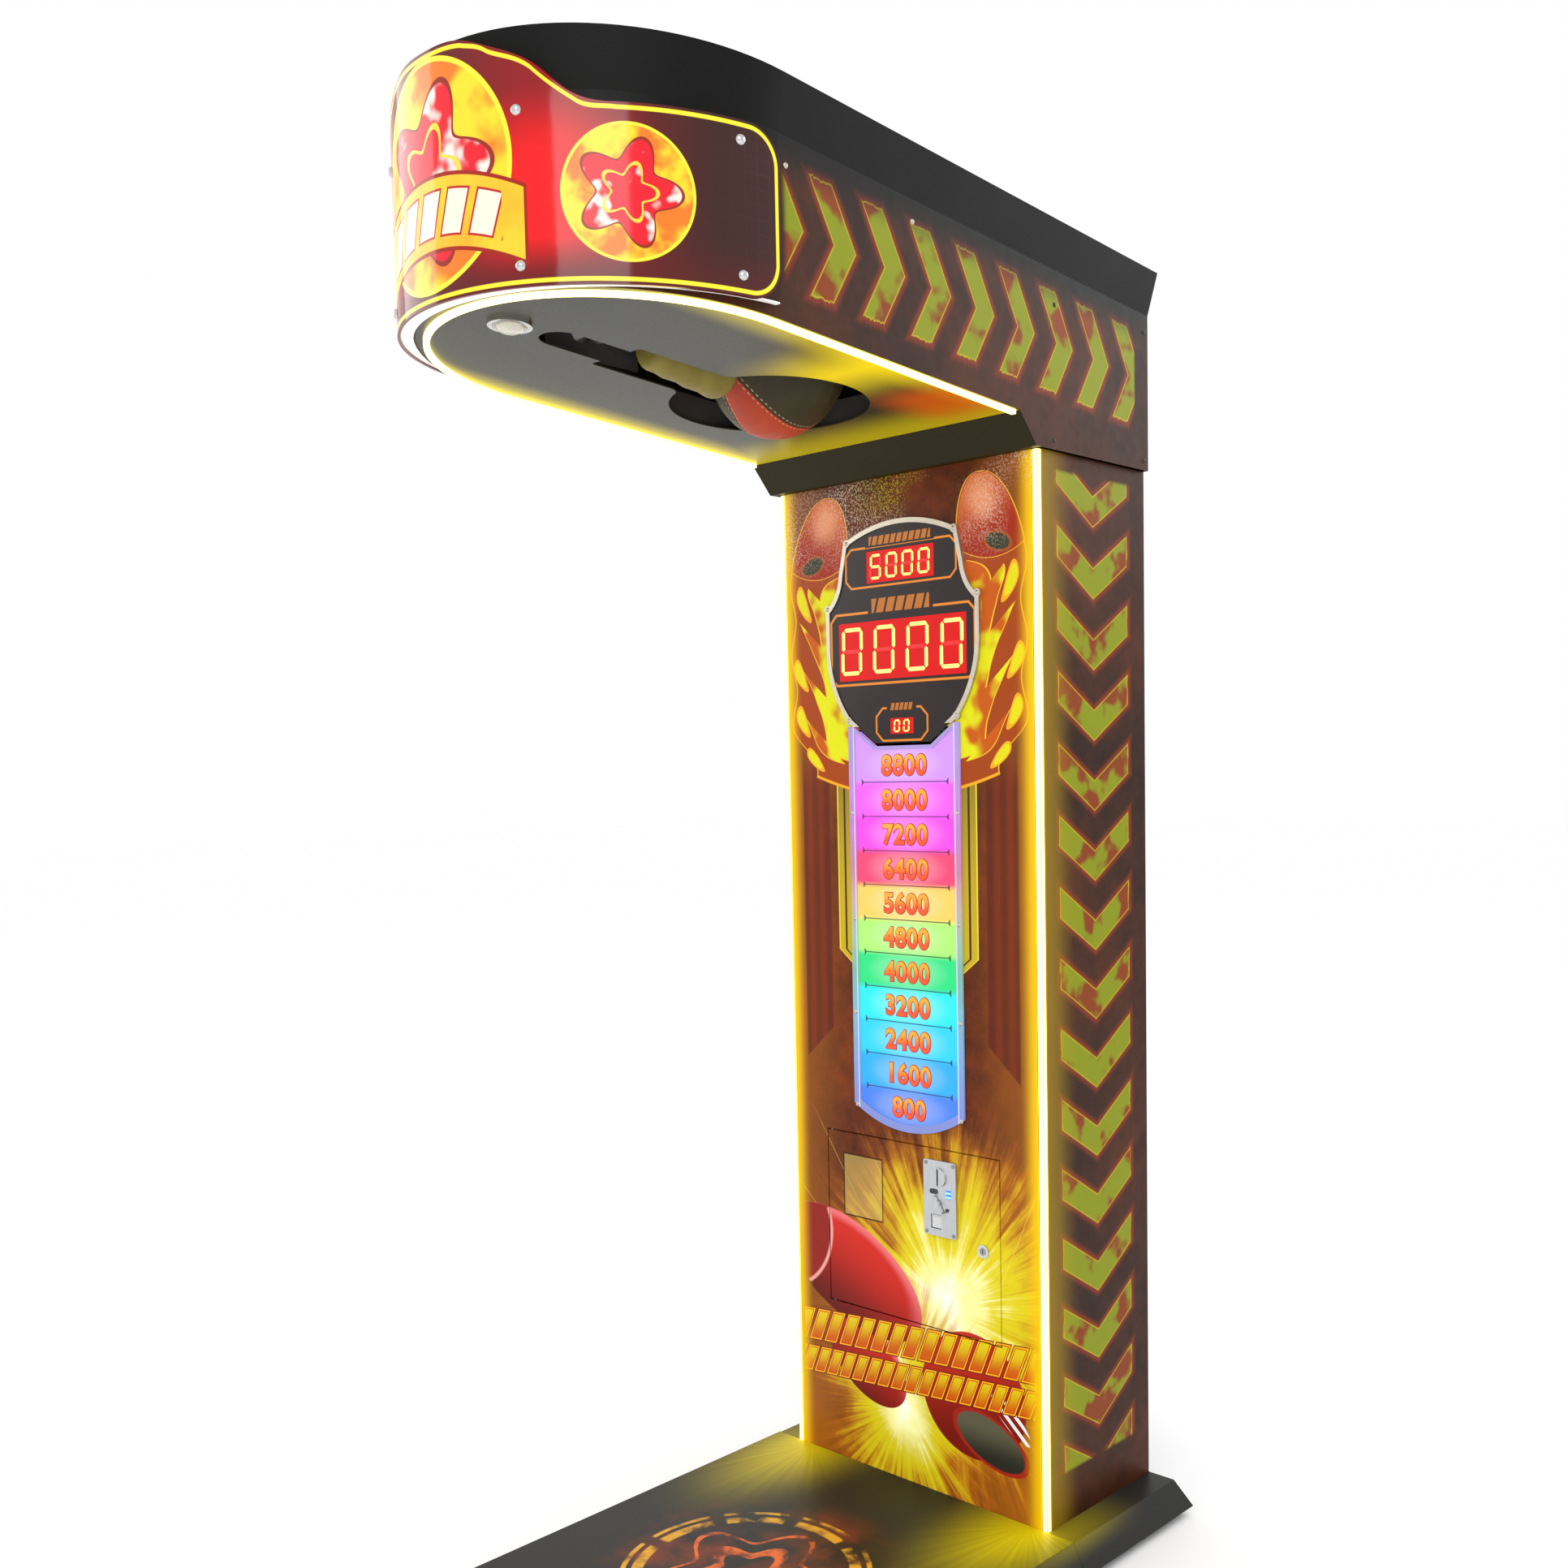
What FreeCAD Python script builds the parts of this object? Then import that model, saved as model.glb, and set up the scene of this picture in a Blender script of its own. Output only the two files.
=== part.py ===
"""Boxing punch machine: a free-standing amusement cabinet with a swinging punch ball.

Frame: millimetres, +Z up, the player's side faces -Y, +X is to the right of a person who
faces the machine. The origin is on the floor, under the middle of the machine.
"""
import FreeCAD, Part
import math
import os

V = FreeCAD.Vector
os.makedirs("parts", exist_ok=True)

# ---- driving dimensions -------------------------------------------------------------------
# column
column_width = 550.0
column_depth = 300.0
column_height = 1701.0
sheet = 2.0
corner_notch = 12.0
flange_inner_x = 238.0
rear_flange = 30.0

# platform
platform_length = 1224.0
platform_top = 62.0
platform_clear = 15.0
platform_plate = 3.0
platform_margin = 49.0
platform_bevel = 23.5
module_gap = 0.6
mat_thickness = 2.0
mat_inset = 1.0
frame_tube = 30.0
frame_tube_wall = 2.0
frame_inset = 14.0
foot_radius = 22.5
foot_pad = 8.0
foot_stud_radius = 6.0
foot_stud_top = 40.0
wheel_radius = 20.0
wheel_width = 18.0
wheel_clear = 4.0
axle_radius = 4.0
wheel_x = 250.0
running_gap = 0.05
fit_gap = 0.02

# head
head_overhang = 9.0
head_reach = 860.0
head_nose = 300.0
head_slope = 0.071
neck_run = 41.0
neck_rise = 46.6
neck_lip = 14.3
head_wall_rear = 250.0
crown_height = 70.0
crown_flare = 12.0
strip_width = 8.0
strip_drop = 6.0
strip_inset = 5.0

# marquee light box
marquee_side_gap = 12.0
marquee_nose_gap = 24.0
acrylic = 4.0
marquee_lift = 96.0
marquee_side_height = 210.0
marquee_height = 302.0
marquee_wave_out = 225.0
marquee_wave_in = 77.0
marquee_rear_inset = 10.0
marquee_corner = 48.0
tray_lift = 2.0

# pivot, arm and ball
pivot_reach = 600.0
pivot_rise = 47.0
pivot_radius = 10.0
bearing_radius = 26.0
bearing_width = 14.0
bracket_half_gap = 66.0
bracket_plate = 8.0
hub_radius = 25.0
hub_half_width = 30.0
rod_radius = 12.5
rod_end = 235.0
bumper_start = 27.0
bumper_end = 58.0
bumper_radius = 28.0
sleeve_start = 62.0
sleeve_end = 205.0
sleeve_half_start = 34.0
sleeve_half_end = 47.0
sleeve_rise_start = 30.0
sleeve_rise_end = 34.0
sleeve_droop_start = 56.0
sleeve_droop_end = 78.0
neck_radius = 30.0
ball_start = 175.0
ball_widest = 315.0
ball_radius = 117.0
ball_end = 425.0
soft_gap = 0.5
striker_radius = 66.0
striker_pin = 4.0
latch_turn = 12.0
disc_radius = 32.0

# keyhole slot in the underside, measured from the column's front face
slot_front = 715.0
slot_step = 595.0
slot_rear = 160.0
hole_front = 440.0
slot_narrow = 32.0
slot_wide = 52.0
hole_half = 160.0
slot_fillet = 24.0
lamp_reach = 768.0
lamp_radius = 29.0

# coin door
door_half = 186.5
door_gap = 2.5
door_bottom = 345.5
door_top = 649.5
hinge_back = 6.0
hinge_in = 4.5
hinge_pin = 2.5
lock_x = 154.0
lock_z = 496.0
lock_radius = 11.0
coin_x = 68.0
coin_z = 569.0
coin_width = 68.0
coin_height = 127.0
coin_plate = 6.0
bill_x = -106.0
bill_z = 558.5
bill_width = 92.0
bill_height = 111.0

# display shield, heights above a level that hangs under the column's top
display_datum = 1701.0
shield_top = 1628.0
shield_shoulder_x = 121.0
shield_shoulder = 1600.0
shield_waist_x = 133.0
shield_waist = 1545.0
shield_wide_x = 164.0
shield_wide_top = 1490.0
shield_wide_low = 1425.0
shield_chin_inset = 3.0
shield_chin = 1299.0
shield_tip_x = 60.0
shield_tip = 1258.0
bezel_width = 8.0
bezel_proud = 6.0

# strength ladder: its foot is above the platform top, its head is on the display's level
ladder_half = 120.0
ladder_border = 13.0
ladder_head_border = 7.0
ladder_bottom = 645.0
ladder_sag = 37.0
ladder_top = 1292.0
ladder_steps = 11
step_low = 649.0
step_top = 1283.7
light_box_depth = 40.0

# ---- levels and places worked out from them ------------------------------------------------
half_width = column_width / 2
y_rear = platform_length / 2 - platform_bevel
y_front = y_rear - column_depth
z_deck = platform_top
z_joint = z_deck + column_height
z_display = z_joint - display_datum
shield_chin_x = ladder_half - shield_chin_inset
step_pitch = (z_display + step_top - z_deck - step_low) / ladder_steps
marquee_bottom = z_joint + marquee_lift
marquee_shoulder = marquee_bottom + marquee_side_height
marquee_crown = marquee_bottom + marquee_height
head_half = half_width + head_overhang
y_nose_centre = y_front - (head_reach - head_nose)
y_neck = y_front - neck_lip - neck_run
z_neck = z_joint + neck_rise
z_fold_rear = z_joint + head_wall_rear
base_half = half_width + platform_margin
panel_half = half_width - corner_notch - 0.5
y_pivot = y_front - pivot_reach
FAR = 3000.0


def under_z(y):
    """Height of the head's underside."""
    return z_neck + head_slope * (y_neck - y)


def fold_z(y):
    """Height of the fold between the side wrap and the crown."""
    return z_fold_rear + head_slope * (y_rear - y)


z_pivot = under_z(y_pivot) + pivot_rise

# ---- shape helpers -------------------------------------------------------------------------


def box(x0, x1, y0, y1, z0, z1):
    return Part.makeBox(x1 - x0, y1 - y0, z1 - z0, V(x0, y0, z0))


def cyl(x, y, z, radius, length, axis):
    """Cylinder that starts at a point and runs along an axis."""
    return Part.makeCylinder(radius, length, V(x, y, z), V(*axis))


def cyl_x(x0, x1, y, z, radius):
    return cyl(x0, y, z, radius, x1 - x0, (1, 0, 0))


def cyl_y(x, y0, y1, z, radius):
    return cyl(x, y0, z, radius, y1 - y0, (0, 1, 0))


def cyl_z(x, y, z0, z1, radius):
    return cyl(x, y, z0, radius, z1 - z0, (0, 0, 1))


def fuse(shapes):
    first = shapes[0]
    if len(shapes) == 1:
        return first
    return first.fuse(shapes[1:]).removeSplitter()


def cut(shape, tools):
    return shape.cut(tools) if tools else shape


def group(shapes):
    return Part.makeCompound(shapes)


def mirror_x(shape):
    return shape.mirror(V(0, 0, 0), V(1, 0, 0))


def both_sides(shape):
    return [shape, mirror_x(shape)]


def prism_x(points, x0, x1):
    """Polygon of (y, z) points, run along X."""
    wire = Part.makePolygon([V(x0, y, z) for y, z in points + points[:1]])
    return Part.Face(wire).extrude(V(x1 - x0, 0, 0))


def prism_y(wire, y0, y1):
    """Wire drawn in the XZ plane, run along Y."""
    face = Part.Face(wire)
    face.translate(V(0, y0, 0))
    return face.extrude(V(0, y1 - y0, 0))


def slab(y0, y1, z_low, z_high):
    """Full-width slab between two heights that are functions of y."""
    points = [(y0, z_low(y0)), (y1, z_low(y1)), (y1, z_high(y1)), (y0, z_high(y0))]
    return prism_x(points, -FAR / 4, FAR / 4)


def u_wire(half, nose, y_back, height):
    """Outline of the head in plan: straight sides and a half-ellipse nose, on a sloping plane."""
    centre = V(0, y_nose_centre, height(y_nose_centre))
    front = V(0, y_nose_centre - nose, height(y_nose_centre - nose))
    side = V(half, y_nose_centre, height(y_nose_centre))
    left = V(-half, y_nose_centre, height(y_nose_centre))
    if (front - centre).Length >= half:
        ellipse = Part.Ellipse(front, side, centre)
    else:
        ellipse = Part.Ellipse(side, front, centre)
    start = ellipse.parameter(left)
    end = ellipse.parameter(side)
    arc = Part.ArcOfEllipse(ellipse, start, end)
    middle = arc.value((arc.FirstParameter + arc.LastParameter) / 2)
    if (middle - front).Length > 1.0:
        arc = Part.ArcOfEllipse(ellipse, end, start)
    arc_edge = arc.toShape()
    back_left = V(-half, y_back, height(y_back))
    back_right = V(half, y_back, height(y_back))
    lines = [(side, back_right), (back_right, back_left), (back_left, left)]
    edges = [arc_edge] + [Part.makeLine(a, b) for a, b in lines]
    return Part.Wire(Part.__sortEdges__(edges))


def flat_zero(y):
    return 0.0


def u_prism(half, nose, y_back, z0, z1):
    face = Part.Face(u_wire(half, nose, y_back, flat_zero))
    face.translate(V(0, 0, z0))
    return face.extrude(V(0, 0, z1 - z0))


def rounded_box(x0, x1, y0, y1, z0, z1, radius):
    """Box whose edges along Y are rounded."""
    solid = box(x0, x1, y0, y1, z0, z1)
    edges = []
    for edge in solid.Edges:
        direction = edge.tangentAt(edge.FirstParameter)
        if abs(direction.y) > 0.99:
            edges.append(edge)
    return solid.makeFillet(radius, edges)


def nose_point(half, nose, degrees):
    """Point on a nose ellipse and its outward normal; 0 degrees is straight ahead."""
    turn = math.radians(degrees)
    point = V(half * math.sin(turn), y_nose_centre - nose * math.cos(turn), 0)
    normal = V(math.sin(turn) / half, -math.cos(turn) / nose, 0)
    normal.normalize()
    return point, normal


nodes = {}


def keep(name, shape):
    nodes[name] = shape


# ---- panel screws: one small domed screw, set in many places -------------------------------
screw_head = 4.0
screw_dome = 2.2
screw_shank = 1.9
screw_length = 7.0
screw_hole = 2.2


def domed_screw(point, outward, head=screw_head, dome=screw_dome, shank=screw_shank, length=screw_length):
    """Screw whose head sits on point and faces outward."""
    ball = (head * head + dome * dome) / (2 * dome)
    sphere = Part.makeSphere(ball, point - outward * (ball - dome))
    cap = sphere.common(Part.makeCylinder(head, dome + 1, point, outward))
    stem = Part.makeCylinder(shank, length, point - outward * length, outward)
    return cap.fuse(stem)


def hole_along(point, outward, radius=screw_hole, reach=12.0):
    return Part.makeCylinder(radius, 2 * reach, point - outward * reach, outward)


front_out = V(0, -1, 0)
rear_out = V(0, 1, 0)
right_out = V(1, 0, 0)
left_out = V(-1, 0, 0)

# ---- platform ------------------------------------------------------------------------------


def bevelled(y0, y1, grow_y0, grow_y1, inset):
    """Block that spreads towards the floor; inset shrinks it for the inside of a shell."""
    half = base_half - inset
    low_half = half + platform_bevel
    drop = inset if inset else 0.0
    top = platform_top - drop
    y_top0 = y0 + (inset if grow_y0 else -inset)
    y_top1 = y1 - (inset if grow_y1 else -inset)
    y_low0 = y_top0 - (platform_bevel if grow_y0 else 0.0)
    y_low1 = y_top1 + (platform_bevel if grow_y1 else 0.0)
    low = platform_clear
    upper = [V(-half, y_top0, top), V(half, y_top0, top), V(half, y_top1, top), V(-half, y_top1, top)]
    lower = [V(-low_half, y_low0, low), V(low_half, y_low0, low)]
    lower += [V(low_half, y_low1, low), V(-low_half, y_low1, low)]
    wires = [Part.makePolygon(ring + ring[:1]) for ring in (lower, upper)]
    return Part.makeLoft(wires, True, True)


y_deck_front = -platform_length / 2 + platform_bevel
y_seam = y_front
front_platform = bevelled(y_deck_front, y_seam, True, False, 0.0)
front_platform = front_platform.cut(bevelled(y_deck_front, y_seam, True, False, platform_plate))
seam_plate = box(-base_half + platform_plate, base_half - platform_plate,
                 y_seam - platform_plate, y_seam, platform_clear, platform_top - platform_plate)
keep("front_platform", fuse([front_platform, seam_plate]))

y_base_start = y_seam + module_gap
column_base = bevelled(y_base_start, y_rear, False, True, 0.0)
column_base = column_base.cut(bevelled(y_base_start, y_rear, False, True, platform_plate))
y_axle = y_rear - wheel_radius - 9
z_axle = wheel_clear + wheel_radius
bracket_plates = []
for x in (wheel_x - wheel_width, wheel_x + wheel_width):
    plate = box(x - 2, x + 2, y_axle - 14, y_axle + 14, platform_clear, platform_top - platform_plate)
    bracket_plates += both_sides(plate)
base_seam = box(-base_half + platform_plate, base_half - platform_plate,
                y_base_start, y_base_start + platform_plate, platform_clear, platform_top - platform_plate)
column_base = fuse([column_base, base_seam] + bracket_plates)
axle_bore = cyl_x(-wheel_x - 40, wheel_x + 40, y_axle, z_axle, axle_radius + running_gap)
keep("column_base", column_base.cut(axle_bore))

axle_half = wheel_x + wheel_width + 6
keep("wheel_axle", cyl_x(-axle_half, axle_half, y_axle, z_axle, axle_radius))
wheel = cyl_x(wheel_x - wheel_width / 2, wheel_x + wheel_width / 2, y_axle, z_axle, wheel_radius)
wheel = wheel.makeFillet(2.0, [e for e in wheel.Edges if len(e.Vertexes) == 1])
wheel = wheel.cut(cyl_x(wheel_x - wheel_width, wheel_x + wheel_width, y_axle, z_axle,
                        axle_radius + fit_gap))
keep("transport_wheels", group(both_sides(wheel)))

mat_front = y_deck_front + mat_inset
keep("platform_mat", box(-base_half + mat_inset, base_half - mat_inset, mat_front, y_seam - mat_inset,
                         platform_top, platform_top + mat_thickness))

frame_half = base_half - frame_inset
tube_top = platform_top - platform_plate
tube_low = tube_top - 35.0
y_frame_front = y_deck_front + frame_inset
y_frame_seam = y_seam - platform_plate - 1
y_frame_back = y_base_start + platform_plate + 1
y_tube_rear = y_axle - wheel_radius - 10


def tube_boxes(shrink):
    """Outsides of the frame's tubes, or their insides when shrink is the wall."""
    low = tube_low + shrink
    top = tube_top - shrink
    tubes = []
    for y0, y1 in ((y_frame_front, y_frame_seam), (y_frame_back, y_tube_rear)):
        side = box(frame_half - frame_tube + shrink, frame_half - shrink, y0 + shrink, y1 - shrink, low, top)
        tubes += both_sides(side)
        middle = (y0 + y1) / 2
        for y in (y0, middle - frame_tube / 2, y1 - frame_tube):
            tubes.append(box(-frame_half + shrink, frame_half - shrink,
                             y + shrink, y + frame_tube - shrink, low, top))
    return tubes


foot_x = frame_half - frame_tube / 2
foot_rows = [y_frame_front + frame_tube / 2, (y_frame_front + y_frame_seam) / 2,
             y_frame_seam - frame_tube / 2, y_tube_rear - frame_tube / 2]
foot_places = [(x, y) for y in foot_rows for x in (-foot_x, foot_x)]
platform_frame = fuse(tube_boxes(0.0)).cut(fuse(tube_boxes(frame_tube_wall)))
stud_holes = [cyl_z(x, y, tube_low - 1, tube_low + frame_tube_wall + 1, foot_stud_radius + 0.3)
              for x, y in foot_places]
keep("platform_frame", platform_frame.cut(stud_holes))

feet = []
for x, y in foot_places:
    pad = cyl_z(x, y, 0, foot_pad, foot_radius)
    pad = pad.makeChamfer(2.0, [e for e in pad.Edges if len(e.Vertexes) == 1 and e.BoundBox.ZMax > 1])
    stud = cyl_z(x, y, foot_pad, foot_stud_top, foot_stud_radius)
    nut = Part.makePolygon([V(x + 11 * math.cos(math.radians(a)), y + 11 * math.sin(math.radians(a)), 0)
                            for a in range(0, 361, 60)])
    lock_nut = Part.Face(nut).extrude(V(0, 0, 6))
    lock_nut.translate(V(0, 0, foot_pad + 4))
    feet.append(fuse([pad, stud, lock_nut]))
keep("leveling_feet", group(feet))

# ---- column --------------------------------------------------------------------------------
z_shelf = door_bottom - 4.5
side_wall = box(half_width - sheet, half_width, y_front + corner_notch, y_rear, z_deck, z_joint)
notch_web = box(half_width - corner_notch, half_width, y_front + corner_notch,
                y_front + corner_notch + sheet, z_deck, z_joint)
notch_return = box(half_width - corner_notch - sheet, half_width - corner_notch, y_front + sheet,
                   y_front + corner_notch + sheet, z_deck, z_joint)
front_flange = box(flange_inner_x, half_width - corner_notch, y_front + sheet, y_front + 2 * sheet,
                   z_deck, z_joint)
back_flange = box(half_width - rear_flange, half_width, y_rear - sheet, y_rear, z_deck, z_joint)
side_sheet = fuse([side_wall, notch_web, notch_return, front_flange, back_flange])
shelf = box(-half_width + sheet, half_width - sheet, y_front + 40, y_rear - 3 * sheet, z_shelf, z_shelf + sheet)
top_tie = box(-half_width + sheet, half_width - sheet, y_front + 60, y_front + 100,
              z_joint - sheet, z_joint)
column_shell = fuse(both_sides(side_sheet) + [shelf, top_tie])

strip = box(half_width - corner_notch + 0.5, half_width - 0.5, y_front + 0.5,
            y_front + corner_notch - 0.5, z_deck + 1, z_joint - 1)
strip_edges = [e for e in strip.Edges if e.Length > 1000]
strip = strip.makeFillet(3.0, strip_edges)
keep("corner_led_strips", group(both_sides(strip)))

# shield outline of the score display
def shield_wire(grow):
    """Shield outline in the XZ plane at y = 0; grow moves it outwards."""
    level = z_display
    side = [V(shield_tip_x, 0, level + shield_tip), V(shield_chin_x, 0, level + shield_chin),
            V(shield_wide_x, 0, level + shield_wide_low), V(shield_wide_x, 0, level + shield_wide_top),
            V(shield_waist_x, 0, level + shield_waist), V(shield_shoulder_x, 0, level + shield_shoulder)]
    jaw = V((shield_chin_x + shield_wide_x) / 2 + 9, 0, level + (shield_chin + shield_wide_low) / 2 - 9)
    waist = V((shield_waist_x + shield_wide_x) / 2 - 5, 0,
              level + (shield_waist + shield_wide_top) / 2 - 5)
    right = [Part.makeLine(side[0], side[1]), Part.Arc(side[1], jaw, side[2]).toShape(),
             Part.makeLine(side[2], side[3]), Part.Arc(side[3], waist, side[4]).toShape(),
             Part.makeLine(side[4], side[5])]
    left = [edge.mirror(V(0, 0, 0), V(1, 0, 0)) for edge in right]
    top = V(0, 0, level + shield_top)
    mirrored = V(-side[5].x, 0, side[5].z)
    crest = Part.Arc(side[5], top, mirrored).toShape()
    foot = Part.makeLine(V(-side[0].x, 0, side[0].z), side[0])
    wire = Part.Wire(Part.__sortEdges__(right + [crest] + left + [foot]))
    if grow == 0:
        return wire
    return wire.makeOffset2D(grow, 2)


def ladder_wire(shrink):
    """Outline of the ladder: straight sides and a sagging foot."""
    half = ladder_half - shrink
    low = z_deck + ladder_bottom + shrink * 0.6
    foot = z_deck + ladder_bottom - ladder_sag + shrink
    top = z_display + ladder_top - shrink
    arc = Part.Arc(V(-half, 0, low), V(0, 0, foot), V(half, 0, low)).toShape()
    lines = [Part.makeLine(V(half, 0, low), V(half, 0, top)),
             Part.makeLine(V(half, 0, top), V(-half, 0, top)),
             Part.makeLine(V(-half, 0, top), V(-half, 0, low))]
    return Part.Wire(Part.__sortEdges__([arc] + lines))


panel_cut = 4.0
panel_back = y_front + sheet
shield_cut = prism_y(shield_wire(-panel_cut), y_front - 20, y_front + 20)
ladder_cut = prism_y(ladder_wire(6.0), y_front - 20, y_front + 20)
door_cut = box(-door_half - door_gap, door_half + door_gap, y_front - 20, y_front + 20,
               door_bottom - door_gap, door_top + door_gap)
front_panel = box(-panel_half, panel_half, y_front, panel_back, z_deck + 0.5, z_joint - 0.5)
front_panel = front_panel.cut([shield_cut, ladder_cut, door_cut])

bezel = prism_y(shield_wire(0), y_front - bezel_proud, y_front)
bezel = bezel.cut(prism_y(shield_wire(-bezel_width), y_front - 20, y_front + 20))
bezel_floor = z_display + shield_chin - 8
bezel = bezel.cut(box(-FAR / 4, FAR / 4, y_front - 30, y_front + 30, 0, bezel_floor))
bezel_screw_places = [(shield_shoulder_x - 6, shield_shoulder - 1),
                      (shield_wide_x - 3.5, shield_wide_top + 3),
                      (shield_chin_x - 1, shield_chin + 3)]
lug_radius = 6.5
bezel_lugs = []
bezel_points = []
for x, z in bezel_screw_places:
    for side in (-1, 1):
        bezel_points.append(V(side * x, y_front - bezel_proud, z_display + z))
        bezel_lugs.append(cyl_y(side * x, y_front - bezel_proud, y_front, z_display + z, lug_radius))
bezel = fuse([bezel] + bezel_lugs)

frame_keep_out = prism_y(shield_wire(5), y_front - 20, y_front)
frame_keep_out = frame_keep_out.cut([prism_y(shield_wire(-bezel_width - 0.3), y_front - 30, y_front + 10),
                                     box(-FAR / 4, FAR / 4, y_front - 30, y_front + 30, 0, bezel_floor - 0.3)])
lug_keep_out = [cyl_y(p.x, y_front - 20, y_front + 20, p.z, lug_radius + 0.3) for p in bezel_points]
window = prism_y(shield_wire(-panel_cut - 0.3), y_front - 3.5, y_front + 0.5)
window = window.cut([frame_keep_out] + lug_keep_out)
score_windows = [(-72, 72, 1529, 1581), (-137, 137, 1369, 1466), (-25, 25, 1277, 1303)]
filters = []
filter_cuts = []
for x0, x1, z0, z1 in score_windows:
    low = z_display + z0
    high = z_display + z1
    filters.append(box(x0, x1, y_front - 3.2, y_front + 0.5, low, high))
    filter_cuts.append(box(x0 - 0.3, x1 + 0.3, y_front - 20, y_front + 20, low - 0.3, high + 0.3))
keep("display_window", window.cut(filter_cuts))
keep("display_filters", group(filters))

board_back = y_front + 9
modules = [box(x0 + 2, x1 - 2, y_front + 1, y_front + 7, z_display + z0 + 2, z_display + z1 - 2)
           for x0, x1, z0, z1 in score_windows]
board = box(-150, 150, y_front + 7, board_back, z_display + shield_tip + 12, z_display + shield_shoulder)
lower_corner = box(80, 160, y_front, board_back + 1, z_display + shield_tip, z_display + shield_chin + 50)
board = board.cut(both_sides(lower_corner))
keep("score_board", fuse([board] + modules))

# strength ladder: clear frame, printed diffuser, light box with a shelf between the steps
shield_clear = prism_y(shield_wire(0.6), y_front - 20, y_front + 60)
border_clear = prism_y(shield_wire(ladder_head_border), y_front - 20, y_front + 60)
ladder_frame = prism_y(ladder_wire(0), y_front - 3, y_front)
ladder_inside = prism_y(ladder_wire(ladder_border), y_front - 20, y_front + 20).cut(border_clear)
ladder_frame = ladder_frame.cut([ladder_inside, shield_clear])
ladder_screw_x = ladder_half - ladder_border / 2
screw_low = z_deck + ladder_bottom - 3
screw_high = z_display + ladder_top - 146
ladder_screw_z = [screw_low + part * (screw_high - screw_low) for part in (0.0, 0.32, 0.64, 1.0)]
ladder_points = [V(side * ladder_screw_x, y_front - 3, z)
                 for z in ladder_screw_z for side in (-1, 1)]
diffuser = prism_y(ladder_wire(ladder_border - 4), y_front + 0.2, y_front + 3.2)
diffuser = diffuser.cut(prism_y(shield_wire(0.6), y_front - 20, y_front + 60))
keep("ladder_diffuser", diffuser)

box_front = y_front + 3.4
box_back = box_front + light_box_depth
box_top = z_display + shield_tip - 3
light_box = prism_y(ladder_wire(ladder_border - 4), box_front, box_back)
light_box = light_box.cut(box(-FAR / 4, FAR / 4, y_front - 5, box_back + 5, box_top, FAR))
hollow = prism_y(ladder_wire(ladder_border - 2), box_front - 1, box_back - 2)
hollow = hollow.cut(box(-FAR / 4, FAR / 4, y_front - 5, box_back + 5, box_top - 2, FAR))
dividers = []
for step in range(ladder_steps - 1):
    z = z_deck + step_low + (step + 0.5) * step_pitch
    dividers.append(box(-ladder_half, ladder_half, box_front, box_back, z - 0.75, z + 0.75))
dividers = [d.common(light_box) for d in dividers]
light_box = fuse([light_box.cut(hollow)] + dividers)
keep("ladder_light_box", light_box)

# back of the column
y_back_panel = y_rear - 2 * sheet
service_half = 170.0
service_low = z_deck + 640
service_high = z_joint - 461
back_panel = box(-half_width + sheet + 0.3, half_width - sheet - 0.3, y_back_panel, y_rear - sheet,
                 z_deck + 0.5, z_joint - 0.5)
back_cuts = [box(-service_half, service_half, y_back_panel - 5, y_rear + 5, service_low, service_high)]
louvre_rows = 9
for row in range(louvre_rows):
    z = z_joint - 140 + row * 12
    back_cuts.append(box(-60, 60, y_back_panel - 5, y_rear + 5, z, z + 5))
inlet_x = 150.0
inlet_z = z_deck + 90
back_cuts.append(box(inlet_x - 14.2, inlet_x + 14.2, y_back_panel - 5, y_rear + 5,
                     inlet_z - 10.7, inlet_z + 10.7))
back_panel = back_panel.cut(back_cuts)
service_lap = 15.0
service_panel = box(-service_half - service_lap, service_half + service_lap, y_rear - sheet, y_rear,
                    service_low - service_lap, service_high + service_lap)
service_points = [V(side * (service_half + 7), y_rear, z)
                  for z in (service_low - 7, (service_low + service_high) / 2, service_high + 7)
                  for side in (-1, 1)]

inlet_flange = box(inlet_x - 25, inlet_x + 25, y_rear - sheet, y_rear, inlet_z - 14, inlet_z + 14)
inlet_shell = box(inlet_x - 14, inlet_x + 14, y_rear - 22, y_rear, inlet_z - 10.5, inlet_z + 10.5)
inlet_well = box(inlet_x - 12, inlet_x + 12, y_rear - 18, y_rear + 1, inlet_z - 8.2, inlet_z + 8.2)
inlet_pins = [box(inlet_x + dx - 1, inlet_x + dx + 1, y_rear - 19, y_rear - 4, inlet_z - 4, inlet_z)
              for dx in (-7, 0, 7)]
keep("mains_inlet", fuse([fuse([inlet_flange, inlet_shell]).cut(inlet_well)] + inlet_pins))

# ---- coin door -----------------------------------------------------------------------------
hinge_x = -door_half + hinge_in
hinge_y = y_front + hinge_back
door_back = y_front + sheet
return_back = y_front + 9
door_sheet = box(-door_half, door_half, y_front, door_back, door_bottom, door_top)
door_returns = [box(-door_half + 4, door_half, y_front, return_back, door_top - sheet, door_top),
                box(-door_half + 4, door_half, y_front, return_back, door_bottom, door_bottom + sheet),
                box(door_half - sheet, door_half, y_front, return_back, door_bottom, door_top)]
lug_height = 10.0
hinge_lugs = [box(hinge_x - 4, hinge_x + 5, y_front, hinge_y + 5, z, z + lug_height)
              for z in (door_bottom, door_top - lug_height)]
door = fuse([door_sheet] + door_returns + hinge_lugs)
coin_low = coin_z - coin_height / 2
coin_high = coin_z + coin_height / 2
mech_half = 28.0
mech_low = coin_low + 10
mech_high = coin_high - 10
y_coin_face = y_front - coin_plate
pin_bore = hinge_pin + running_gap
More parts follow.
